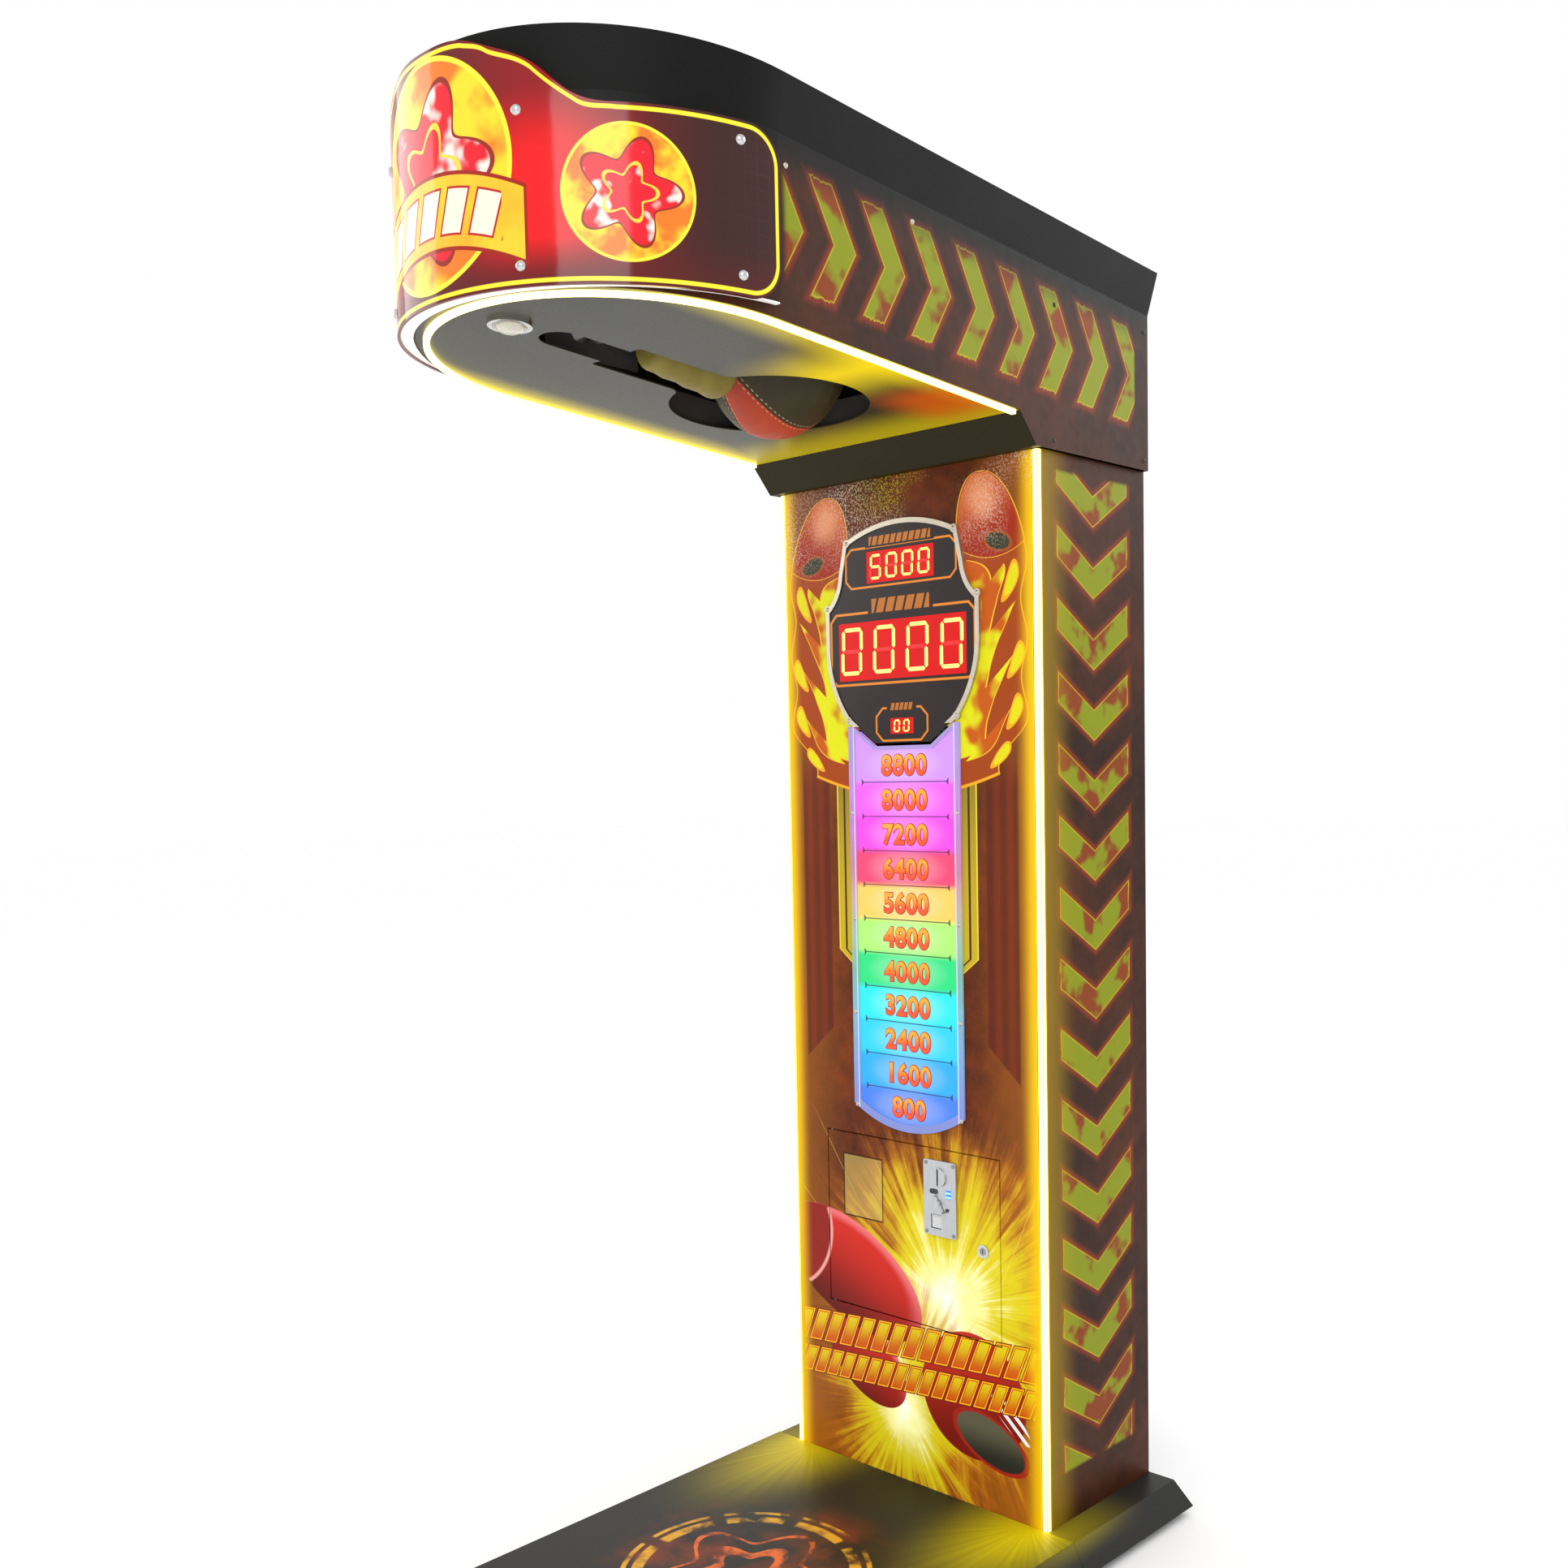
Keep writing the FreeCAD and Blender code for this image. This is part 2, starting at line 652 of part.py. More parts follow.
door = door.cut([cyl_z(hinge_x, hinge_y, door_bottom - 5, door_top + 5, pin_bore),
                 box(coin_x - mech_half - 0.5, coin_x + mech_half + 0.5, y_front - 5, y_front + 8,
                     mech_low - 0.5, mech_high + 0.5),
                 box(bill_x - bill_width / 2 - 0.5, bill_x + bill_width / 2 + 0.5, y_front - 5, y_front + 8,
                     bill_z - bill_height / 2 - 0.5, bill_z + bill_height / 2 + 0.5),
                 cyl_y(lock_x, y_front - 5, y_front + 5, lock_z, lock_radius - 1.8)])
keep("coin_door", door)

hinge_brackets = []
bracket_height = 6.0
for low, pin_low, pin_high in ((door_top + door_gap + 0.5, door_top - lug_height, door_top + door_gap + 1),
                               (door_bottom - door_gap - 0.5 - bracket_height,
                                door_bottom - door_gap - 1, door_bottom + lug_height)):
    leaf = box(hinge_x - 26, hinge_x + 6, panel_back, panel_back + 3, low, low + bracket_height)
    arm = box(hinge_x - 6, hinge_x + 6, panel_back, hinge_y + 6, low, low + bracket_height)
    pin = cyl_z(hinge_x, hinge_y, pin_low, pin_high, hinge_pin)
    hinge_brackets.append(fuse([leaf, arm, pin]))
keep("door_hinge_brackets", group(hinge_brackets))

bill_plate = box(bill_x - bill_width / 2, bill_x + bill_width / 2, y_front, door_back,
                 bill_z - bill_height / 2, bill_z + bill_height / 2)
bill_frame = box(bill_x - bill_width / 2 - 8, bill_x + bill_width / 2 + 8, door_back, door_back + sheet,
                 bill_z - bill_height / 2 - 8, bill_z + bill_height / 2 + 8)
keep("bill_cover_plate", fuse([bill_plate, bill_frame]))

# coin mechanism: face plate, body, reject lever and return flap
lever_z = coin_z - 8
lever_x = coin_x - 3
cup_half = 11.0
cup_low = coin_low + 12
cup_high = cup_low + 24
face = rounded_box(coin_x - coin_width / 2, coin_x + coin_width / 2, y_coin_face, y_front,
                   coin_low, coin_high, 5.0)
face_boss = cyl_y(coin_x - 2, y_coin_face - 3, y_coin_face, coin_z + 36, 16.0)
face = fuse([face, face_boss])
coin_slot = box(coin_x - 3.6, coin_x - 0.4, y_coin_face - 10, y_front + 1, coin_z + 22, coin_z + 50)
cup_cut = box(coin_x - 8 - cup_half, coin_x - 8 + cup_half, y_coin_face - 1, y_front + 1, cup_low, cup_high)
lever_bore = cyl_y(lever_x, y_coin_face - 5, y_front + 5, lever_z, 3.0 + running_gap)
keep("coin_faceplate", face.cut([coin_slot, cup_cut, lever_bore]))

mech_back = y_front + 52
mech = box(coin_x - mech_half, coin_x + mech_half, y_front + 0.2, mech_back, mech_low, mech_high)
mech = mech.cut([box(coin_x - 3.6, coin_x - 0.4, y_front - 5, y_front + 34, coin_z + 22, coin_z + 50),
                 box(coin_x - 8 - cup_half, coin_x - 8 + cup_half, y_front - 5, y_front + 24,
                     cup_low - 2, cup_high + 2),
                 cyl_y(lever_x, y_front - 5, y_front + 9, lever_z, 3.0 + running_gap)])
keep("coin_mech_body", mech)

lever_shaft = cyl_y(lever_x, y_coin_face - 6, y_front + 8, lever_z, 3.0)
lever_hub = cyl_y(lever_x, y_coin_face - 6, y_coin_face - 1, lever_z, 6.0)
lever_grip = rounded_box(lever_x - 4, lever_x + 4, y_coin_face - 6, y_coin_face - 1,
                         lever_z - 19, lever_z + 14, 3.0)
lever_grip.rotate(V(lever_x, 0, lever_z), V(0, 1, 0), -32)
keep("reject_lever", fuse([lever_shaft, lever_hub, lever_grip]))

flap_x = coin_x - 8
flap_y = y_coin_face + 3
flap_z = cup_high - 2.6
flap = box(flap_x - cup_half + 0.6, flap_x + cup_half - 0.6, flap_y - 1, flap_y + 1, cup_low + 1, flap_z)
flap = fuse([flap, cyl_x(flap_x - cup_half + 0.6, flap_x + cup_half - 0.6, flap_y, flap_z, 1.6)])
keep("coin_return_flap", flap)

chute_low = z_shelf + sheet + 116
chute = box(coin_x - 16, coin_x + 16, y_front + 22, mech_back - 2, chute_low, mech_low - 0.2)
chute = chute.cut(box(coin_x - 14, coin_x + 14, y_front + 24, mech_back - 4, chute_low - 1, mech_low + 1))
keep("coin_chute", chute)

lock_cam_gap = 10.0
lock_face = cyl_y(lock_x, y_front - 3, y_front, lock_z, lock_radius)
lock_barrel = cyl_y(lock_x, y_front, y_front + lock_cam_gap, lock_z, lock_radius - 2)
lock_nut = cyl_y(lock_x, door_back, door_back + 3, lock_z, lock_radius + 2)
plug_radius = 6.0
lock_bore = cyl_y(lock_x, y_front - 5, y_front + 20, lock_z, plug_radius + running_gap)
keep("door_lock_body", fuse([lock_face, lock_barrel, lock_nut]).cut(lock_bore))
plug = cyl_y(lock_x, y_front - 3.4, y_front + lock_cam_gap + 2.5, lock_z, plug_radius)
plug = plug.cut(box(lock_x - 0.6, lock_x + 0.6, y_front - 4, y_front + 2, lock_z - 3.5, lock_z + 3.5))
cam_y = y_front + lock_cam_gap + 0.5
cam = box(lock_x - 8, lock_x + 8, cam_y, cam_y + 2, lock_z - 42, lock_z + 8)
keep("door_lock_plug", fuse([plug, cam]))

# cash box on its shelf
cash = box(-120, 120, y_front + 60, y_front + 230, z_shelf + sheet, z_shelf + sheet + 100)
cash_inside = box(-118.5, 118.5, y_front + 61.5, y_front + 228.5, z_shelf + sheet + 1.5, z_shelf + 200)
cash_grip = box(-50, 50, y_front + 50, y_front + 60, z_shelf + 70, z_shelf + 72)
keep("cash_box", fuse([cash.cut(cash_inside), cash_grip]))

# electronics
board_y = y_back_panel - 10
main_board = box(-130, 60, board_y, board_y + 2, z_joint - 420, z_joint - 230)
parts_on_board = [box(-110, -70, board_y - 14, board_y, z_joint - 400, z_joint - 340),
                  box(-40, -5, board_y - 8, board_y, z_joint - 330, z_joint - 295),
                  box(-120, 50, board_y - 12, board_y, z_joint - 250, z_joint - 240),
                  box(20, 50, board_y - 22, board_y, z_joint - 400, z_joint - 370)]
stand_offs = [cyl_y(x, board_y + 2, y_back_panel, z, 3.0)
              for x in (-124, 54) for z in (z_joint - 414, z_joint - 236)]
keep("main_board", fuse([main_board] + parts_on_board + stand_offs))
keep("power_supply", box(-110, 105, y_back_panel - 52, y_back_panel, z_deck + 150, z_deck + 265))
speaker_z = z_joint - 92
speaker = fuse([cyl_y(0, y_back_panel - 5, y_back_panel, speaker_z, 52.0),
                Part.makeCone(48.0, 24.0, 26.0, V(0, y_back_panel - 5, speaker_z), V(0, -1, 0)),
                cyl_y(0, y_back_panel - 50, y_back_panel - 31, speaker_z, 34.0)])
keep("speaker", speaker)

# ---- head ----------------------------------------------------------------------------------
y_tip = y_nose_centre - head_nose
profile = [(y_rear, z_joint), (y_front - neck_lip, z_joint), (y_neck, z_neck),
           (y_tip - 50, under_z(y_tip - 50)), (y_tip - 50, fold_z(y_tip - 50)), (y_rear, fold_z(y_rear))]
wrap = u_prism(head_half, head_nose, y_rear, z_joint - 100, FAR)
wrap = wrap.cut(u_prism(head_half - sheet, head_nose - sheet, y_rear + 50, z_joint - 200, FAR + 100))
head_wrap = wrap.common(prism_x(profile, -FAR / 4, FAR / 4))


def crown_z(y):
    return fold_z(y) + crown_height


def crown_inner_z(y):
    return crown_z(y) - sheet


crown = Part.makeLoft([u_wire(head_half, head_nose, y_rear, fold_z),
                       u_wire(head_half + crown_flare, head_nose + crown_flare, y_rear + crown_flare, crown_z)],
                      True, True)
crown_hollow = Part.makeLoft(
    [u_wire(head_half - sheet, head_nose - sheet, y_rear - sheet, fold_z),
     u_wire(head_half + crown_flare - sheet, head_nose + crown_flare - sheet,
            y_rear + crown_flare - sheet, crown_inner_z)], True, True)
keep("head_top_cover", crown.cut(crown_hollow))
inner_half = head_half - sheet - 0.3
keep("head_back_panel", box(-inner_half, inner_half, y_rear - sheet, y_rear, z_joint, fold_z(y_rear) - 0.3))

# neck cover between the column's top and the head's underside
cover = [(y_front, z_joint), (y_front - neck_lip, z_joint), (y_neck, z_neck),
         (y_neck, z_neck + 1.4 * sheet), (y_front - neck_lip + 0.7, z_joint + sheet),
         (y_front, z_joint + sheet)]
keep("transition_cover", prism_x(cover, -inner_half, inner_half))

# underside plate with the keyhole slot
hole_mid = y_front - (hole_front + slot_rear) / 2
hole_run = (hole_front - slot_rear) / 2
hole_major = V(hole_half, hole_mid, 0)
hole_minor = V(0, hole_mid + hole_run, 0)
hole_curve = Part.Ellipse(hole_major, hole_minor, V(0, hole_mid, 0)).toShape()
round_hole = Part.Face(Part.Wire(hole_curve)).extrude(V(0, 0, 200))
wide_slot = box(-slot_wide, slot_wide, y_front - slot_step, hole_mid, 0, 200)
narrow_slot = box(-slot_narrow, slot_narrow, y_front - slot_front + slot_narrow, hole_mid, 0, 200)
slot_end = cyl_z(0, y_front - slot_front + slot_narrow, 0, 200, slot_narrow)
keyhole = fuse([round_hole, wide_slot, narrow_slot, slot_end])
throat = []
for edge in keyhole.Edges:
    box_of = edge.BoundBox
    tall = box_of.ZLength > 150 and box_of.XLength < 1 and box_of.YLength < 1
    at_throat = abs(abs(box_of.XMin) - slot_wide) < 1 and box_of.YMin > y_front - slot_step + 20
    if tall and at_throat:
        throat.append(edge)
keyhole = keyhole.makeFillet(slot_fillet, throat)
step_edges = []
for edge in keyhole.Edges:
    box_of = edge.BoundBox
    tall = box_of.ZLength > 150 and box_of.XLength < 1 and box_of.YLength < 1
    if tall and abs(box_of.YMin - (y_front - slot_step)) < 1 and abs(abs(box_of.XMin) - slot_wide) < 1:
        step_edges.append(edge)
keyhole = keyhole.makeFillet(6.0, step_edges)
keyhole.translate(V(0, 0, z_neck - 40))


def under_top(y):
    return under_z(y) + sheet


y_lamp = y_front - lamp_reach
underside = u_prism(inner_half, head_nose - sheet - 0.3, y_neck, z_neck - 60, FAR)
underside = underside.common(slab(y_tip - 50, y_neck, under_z, under_top))
underside = underside.cut([keyhole, cyl_z(0, y_lamp, z_neck - 60, FAR, lamp_radius - 4)])
keep("head_underside", underside)


def strip_low(y):
    return under_z(y) - strip_drop


strip_out = head_half - strip_inset
neon = u_prism(strip_out, head_nose - strip_inset - 10, y_neck - 4, z_neck - 60, FAR)
neon = neon.cut(u_prism(strip_out - strip_width, head_nose - strip_inset - 10 - strip_width, y_rear,
                        z_neck - 100, FAR + 100))
keep("underside_led_strip", neon.common(slab(y_tip - 50, y_neck, strip_low, under_z)))

# marquee: bent acrylic with a wave along its top, and the tray that closes the light box
marquee_half = head_half + marquee_side_gap
marquee_nose = head_nose + marquee_nose_gap
y_marquee_rear = y_nose_centre - marquee_rear_inset
y_past = y_nose_centre + 20
sheet_wave = u_prism(marquee_half, marquee_nose, y_past, marquee_bottom - 50, FAR)
sheet_wave = sheet_wave.cut(u_prism(marquee_half - acrylic, marquee_nose - acrylic, y_rear,
                                    marquee_bottom - 100, FAR + 100))
wave_mid_x = (marquee_wave_out + marquee_wave_in) / 2
wave_mid_z = (marquee_shoulder + marquee_crown) / 2
wave = Part.BSplineCurve()
wave_points = [V(marquee_wave_out, 0, marquee_shoulder), V(marquee_wave_out - 34, 0, marquee_shoulder + 9),
               V(wave_mid_x, 0, wave_mid_z + 2), V(marquee_wave_in + 24, 0, marquee_crown - 18),
               V(marquee_wave_in - 12, 0, marquee_crown - 4)]
crest_points = [V(0, 0, marquee_crown)]
mirrored_points = [V(-p.x, 0, p.z) for p in reversed(wave_points)]
wave.interpolate(wave_points + crest_points + mirrored_points)
wave_edge = wave.toShape()
far_x = marquee_half + 40
top_frame = [V(-marquee_wave_out, 0, marquee_shoulder), V(-far_x, 0, marquee_shoulder),
             V(-far_x, 0, marquee_bottom), V(far_x, 0, marquee_bottom), V(far_x, 0, marquee_shoulder),
             V(marquee_wave_out, 0, marquee_shoulder)]
frame_lines = [Part.makeLine(a, b) for a, b in zip(top_frame, top_frame[1:])]
front_mask = prism_y(Part.Wire(Part.__sortEdges__([wave_edge] + frame_lines)),
                     y_nose_centre - marquee_nose - 50, y_rear)
rear_mask = box(-FAR / 4, FAR / 4, y_nose_centre - marquee_nose - 50, y_marquee_rear,
                marquee_bottom, marquee_shoulder)
rounded = []
for edge in rear_mask.Edges:
    box_of = edge.BoundBox
    if box_of.XLength > 100 and box_of.YMin > y_marquee_rear - 1:
        rounded.append(edge)
rear_mask = rear_mask.makeFillet(marquee_corner, rounded)
y_wave_side = y_nose_centre - marquee_nose * math.sqrt(1 - (marquee_wave_out / marquee_half) ** 2)
nose_mask = box(-FAR / 4, FAR / 4, y_nose_centre - marquee_nose - 50, y_wave_side, marquee_bottom, FAR)
marquee = sheet_wave.common(front_mask).common(fuse([rear_mask, nose_mask]))
marquee_screw_places = [(27.0, marquee_bottom + 25), (27.0, marquee_shoulder - 5),
                        (77.5, marquee_bottom + 25), (77.5, marquee_shoulder - 24)]
marquee_screw_list = []
marquee_holes = []
for degrees, z in marquee_screw_places:
    for side in (-1, 1):
        point, normal = nose_point(marquee_half, marquee_nose, side * degrees)
        point.z = z
        marquee_screw_list.append(domed_screw(point + normal * 0.3, normal, 7.0, 5.0, 2.5, acrylic + 6))
        marquee_holes.append(hole_along(point, normal, 3.0, 9.0))
keep("marquee_screws", group(marquee_screw_list))
keep("marquee_panel", marquee.cut(marquee_holes))
tray_z = marquee_bottom + tray_lift
tray = u_prism(marquee_half - acrylic - 0.3, marquee_nose - acrylic - 0.3, y_past, tray_z, tray_z + sheet)
tray = tray.cut([u_prism(head_half + 0.3, head_nose + 0.3, y_rear, tray_z - 10, tray_z + 20),
                 box(-FAR / 4, FAR / 4, y_marquee_rear, y_rear, tray_z - 10, tray_z + 20)])
keep("marquee_tray", tray)

# spot lamp in the underside, ahead of the slot
z_lamp = under_z(y_lamp)
lamp_tilt = -math.degrees(math.atan(head_slope))
lamp_ring = Part.makeCylinder(lamp_radius, 5, V(0, y_lamp, z_lamp - 5))
lamp_can = Part.makeCylinder(lamp_radius - 4.5, 50, V(0, y_lamp, z_lamp - 5))
lamp_cavity = Part.makeCylinder(lamp_radius - 6.5, 52, V(0, y_lamp, z_lamp - 9))
lamp_housing = fuse([lamp_ring, lamp_can]).cut(lamp_cavity)
lamp_housing.rotate(V(0, y_lamp, z_lamp), V(1, 0, 0), lamp_tilt)
keep("spot_lamp_bezel", lamp_housing)
lens_radius = lamp_radius - 7
lens_ball = Part.makeSphere(30, V(0, y_lamp, z_lamp - 5 + math.sqrt(30 ** 2 - lens_radius ** 2)))
lens_cap = lens_ball.common(Part.makeCylinder(lens_radius, 40, V(0, y_lamp, z_lamp - 45)))
lens_disc = Part.makeCylinder(lens_radius, 4, V(0, y_lamp, z_lamp - 5.01))
lens = fuse([lens_cap, lens_disc])
lens.rotate(V(0, y_lamp, z_lamp), V(1, 0, 0), lamp_tilt)
keep("spot_lamp_lens", lens)

# frame inside the head: two rails that lie on the underside and stand on the column
rail_inner = hole_half + 6
rail_size = 40.0


def rail_low(y):
    return under_z(y) + sheet + 1.3


def rail_top(y):
    return rail_low(y) + rail_size


def rail_hollow_low(y):
    return rail_low(y) + frame_tube_wall


def rail_hollow_top(y):
    return rail_top(y) - frame_tube_wall


y_rail_front = y_nose_centre - 150
y_rail_back = y_rear - 30


def rails(shrink, low, top):
    """Outside or inside of the rails and of the cross tubes between them."""
    shapes = []
    lane = slab(y_rail_front + shrink, y_rail_back - shrink, low, top)
    band = box(rail_inner + shrink, rail_inner + rail_size - shrink, -FAR, FAR, 0, FAR)
    shapes += both_sides(lane.common(band))
    for y in (y_rail_front, y_front - slot_rear + 15, y_rail_back - rail_size):
        cross = slab(y + shrink, y + rail_size - shrink, low, top)
        width = rail_inner + rail_size - shrink
        cross = cross.common(box(-width, width, -FAR, FAR, 0, FAR))
        if y == y_rail_front:
            cross.translate(V(0, 0, rail_size))
        shapes.append(cross)
    return shapes


head_frame = fuse(rails(0.0, rail_low, rail_top))
head_frame = head_frame.cut(fuse(rails(frame_tube_wall, rail_hollow_low, rail_hollow_top)))
posts = []
for y in (y_front + 12, y_rail_back - rail_size):
    post = box(rail_inner, rail_inner + rail_size, y, y + rail_size, z_joint + 0.5, FAR)
    posts += both_sides(post.common(slab(y - 10, y + rail_size + 10, lambda v: 0, rail_low)))
head_frame = fuse([head_frame] + posts)

# ---- pivot, latch and ball -----------------------------------------------------------------
plate_front = y_pivot - 62
plate_back = y_pivot + 102
bracket_top = z_pivot + 124
bracket_foot = under_z(plate_front) + sheet + 0.5
side_plate = box(bracket_half_gap, bracket_half_gap + bracket_plate, plate_front, plate_back,
                 bracket_foot, bracket_top)
foot_flange = box(bracket_half_gap, rail_inner - 0.3, plate_front, plate_front + 24,
                  bracket_foot, bracket_foot + 4)
rear_flange_plate = box(bracket_half_gap, rail_inner - 0.3, plate_back - 24, plate_back,
                        bracket_foot, bracket_foot + 4)
top_plate = box(-bracket_half_gap - bracket_plate, bracket_half_gap + bracket_plate, plate_front, plate_back,
                bracket_top, bracket_top + 4)
latch_y = y_pivot + 80
latch_z = z_pivot + 94
latch_pin = 4.0
hook_pin = cyl_x(-bracket_half_gap, bracket_half_gap, latch_y, latch_z, latch_pin)
stop_bar = box(-bracket_half_gap, bracket_half_gap, y_pivot - 46, y_pivot - 34, z_pivot + 38, z_pivot + 54)
pivot_bracket = fuse(both_sides(side_plate) + both_sides(foot_flange) + both_sides(rear_flange_plate)
                     + [top_plate, hook_pin, stop_bar])
solenoid_y = latch_y - 54
plunger_radius = 7.0
plate_bore = bearing_radius - 8
pivot_bracket = pivot_bracket.cut([cyl_x(-200, 200, y_pivot, z_pivot, plate_bore),
                                   cyl_z(0, solenoid_y, bracket_top - 10, bracket_top + 10, plunger_radius + 2)])
keep("pivot_bracket", pivot_bracket)

bearing_x = bracket_half_gap + bracket_plate
bearing = cyl_x(bearing_x, bearing_x + bearing_width, y_pivot, z_pivot, bearing_radius)
bearing = fuse([bearing, cyl_x(bracket_half_gap + 1, bearing_x, y_pivot, z_pivot, plate_bore - 0.1)])
bearing = bearing.cut(cyl_x(0, 200, y_pivot, z_pivot, pivot_radius + running_gap))
keep("pivot_bearings", group(both_sides(bearing)))

axle_reach = bearing_x + bearing_width + 14
axle = cyl_x(-axle_reach, axle_reach, y_pivot, z_pivot, pivot_radius)
axle = axle.makeChamfer(1.0, [e for e in axle.Edges if len(e.Vertexes) == 1])
keep("pivot_axle", axle)

disc_x = bearing_x + bearing_width + 5
disc = cyl_x(disc_x, disc_x + 2, y_pivot, z_pivot, disc_radius)
disc_hub = cyl_x(disc_x - 3, disc_x + 5, y_pivot, z_pivot, 15.0)
disc = fuse([disc, disc_hub])
slots = []
slot_count = 24
for index in range(slot_count):
    turn = index * 360.0 / slot_count
    tooth = box(disc_x - 1, disc_x + 3, y_pivot - 1.4, y_pivot + 1.4,
                z_pivot + disc_radius - 7, z_pivot + disc_radius + 1)
    tooth.rotate(V(0, y_pivot, z_pivot), V(1, 0, 0), turn)
    slots.append(tooth)
disc = disc.cut(slots + [cyl_x(0, 300, y_pivot, z_pivot, pivot_radius + fit_gap)])
keep("sensor_disc", disc)
sensor = box(bearing_x, disc_x + 9, y_pivot - 9, y_pivot + 9, z_pivot + bearing_radius + 1, z_pivot + 52)
disc_slot = box(disc_x - 2, disc_x + 4, y_pivot - 20, y_pivot + 20, z_pivot, z_pivot + disc_radius + 5)
sensor = sensor.cut(disc_slot)
sensor = sensor.cut(box(bearing_x - 1, disc_x - 4.5, y_pivot - 20, y_pivot + 20, z_pivot, z_pivot + 44))
keep("optical_sensor", sensor)

hub = cyl_x(-hub_half_width, hub_half_width, y_pivot, z_pivot, hub_radius)
rod = cyl_y(0, y_pivot, y_pivot + rod_end, z_pivot, rod_radius)
ear_half = 8.0
ears = both_sides(prism_x([(y_pivot - 14, z_pivot + 10), (y_pivot + 14, z_pivot + 10),
                           (y_pivot + ear_half, z_pivot + striker_radius + 7),
                           (y_pivot - ear_half, z_pivot + striker_radius + 7)], ear_half, ear_half + 6))
striker = cyl_x(-18, 18, y_pivot, z_pivot + striker_radius, striker_pin)
anchor = cyl_y(0, y_pivot + rod_end - 8, y_pivot + rod_end, z_pivot, rod_radius + 12)
arm = fuse([hub, rod] + ears + [striker, anchor])
arm = arm.cut(cyl_x(-200, 200, y_pivot, z_pivot, pivot_radius + fit_gap))
keep("swing_arm", arm)

bumper = cyl_y(0, y_pivot + bumper_start, y_pivot + bumper_end, z_pivot, bumper_radius)
bumper = bumper.makeFillet(4.0, [e for e in bumper.Edges if len(e.Vertexes) == 1])
keep("arm_bumper", bumper.cut(cyl_y(0, y_pivot, y_pivot + 100, z_pivot, rod_radius + fit_gap)))


def sleeve_ring(y, half, rise, droop):
    """Upright ellipse round the arm that hangs further below it than it stands above."""
    middle = z_pivot + (rise - droop) / 2
    tall = (rise + droop) / 2
    ellipse = Part.Ellipse(V(0, y, middle + tall), V(half, y, middle), V(0, y, middle))
    return Part.Wire([ellipse.toShape()])


front_ring = sleeve_ring(y_pivot + sleeve_start, sleeve_half_start, sleeve_rise_start, sleeve_droop_start)
rear_ring = sleeve_ring(y_pivot + sleeve_end, sleeve_half_end, sleeve_rise_end, sleeve_droop_end)
sleeve = Part.makeLoft([front_ring, rear_ring], True, True)
sleeve = sleeve.makeFillet(4.0, [e for e in sleeve.Edges if abs(e.BoundBox.YLength) < 0.01])
sleeve = sleeve.cut([cyl_y(0, y_pivot, y_pivot + 300, z_pivot, rod_radius + soft_gap),
                     cyl_y(0, y_pivot + ball_start - soft_gap, y_pivot + 300, z_pivot, neck_radius + soft_gap)])
keep("leather_sleeve", sleeve)

ball_curve = Part.BSplineCurve()
ball_profile = [(sleeve_end + 1, neck_radius), (sleeve_end + 34, neck_radius + 37),
                (ball_widest - 42, ball_radius - 15), (ball_widest, ball_radius),
                (ball_widest + 54, ball_radius - 17), (ball_end - 14, ball_radius * 0.47), (ball_end, 0)]
ball_curve.interpolate([V(0, y_pivot + r, z_pivot + h) for r, h in ball_profile])
neck_line = Part.makeLine(V(0, y_pivot + ball_start, z_pivot + neck_radius),
                          V(0, y_pivot + sleeve_end + 1, z_pivot + neck_radius))
start_line = Part.makeLine(V(0, y_pivot + ball_start, z_pivot),
                           V(0, y_pivot + ball_start, z_pivot + neck_radius))
axis_line = Part.makeLine(V(0, y_pivot + ball_end, z_pivot), V(0, y_pivot + ball_start, z_pivot))
ball_face = Part.Face(Part.Wire([start_line, neck_line, ball_curve.toShape(), axis_line]))
ball = ball_face.revolve(V(0, y_pivot, z_pivot), V(0, 1, 0), 360)
anchor_space = cyl_y(0, y_pivot + rod_end - 8 - soft_gap, y_pivot + rod_end + soft_gap, z_pivot,
                     rod_radius + 12 + soft_gap)
ball = Part.makeSolid(ball) if ball.ShapeType != "Solid" else ball
ball = ball.cut([cyl_y(0, y_pivot, y_pivot + rod_end, z_pivot, rod_radius + soft_gap), anchor_space])
keep("punch_ball", ball)

# latch hook, drawn engaged and then lifted clear of the striker
hook_bar = box(-5, 5, y_pivot - 12, latch_y + 10, latch_z - 16, latch_z - 6)
hook_boss = cyl_x(-5, 5, latch_y, latch_z, 12.0)
hook_web = box(-5, 5, latch_y - 12, latch_y + 10, latch_z - 16, latch_z)
hook_tooth = box(-5, 5, y_pivot + striker_pin + 3, y_pivot + striker_pin + 15,
                 z_pivot + striker_radius - 2, latch_z - 10)
hook = fuse([hook_bar, hook_boss, hook_web, hook_tooth])
hook = hook.cut(cyl_x(-20, 20, latch_y, latch_z, latch_pin + running_gap))
hook.rotate(V(0, latch_y, latch_z), V(1, 0, 0), -latch_turn)
keep("latch_hook", hook)

solenoid_low = bracket_top + 4
solenoid = box(-22, 22, solenoid_y - 20, solenoid_y + 20, solenoid_low, solenoid_low + 46)
solenoid = solenoid.cut(cyl_z(0, solenoid_y, solenoid_low - 1, solenoid_low + 40, plunger_radius + 0.1))
keep("latch_solenoid", solenoid)
plunger_low = latch_z + 8.5
plunger = cyl_z(0, solenoid_y, plunger_low, solenoid_low + 38, plunger_radius)
keep("solenoid_plunger", plunger)

buffers = [cyl_y(x, y_pivot - 34, y_pivot - 14.6, z_pivot + 46, 7.0) for x in (-11, 11)]
keep("stop_buffers", group(buffers))

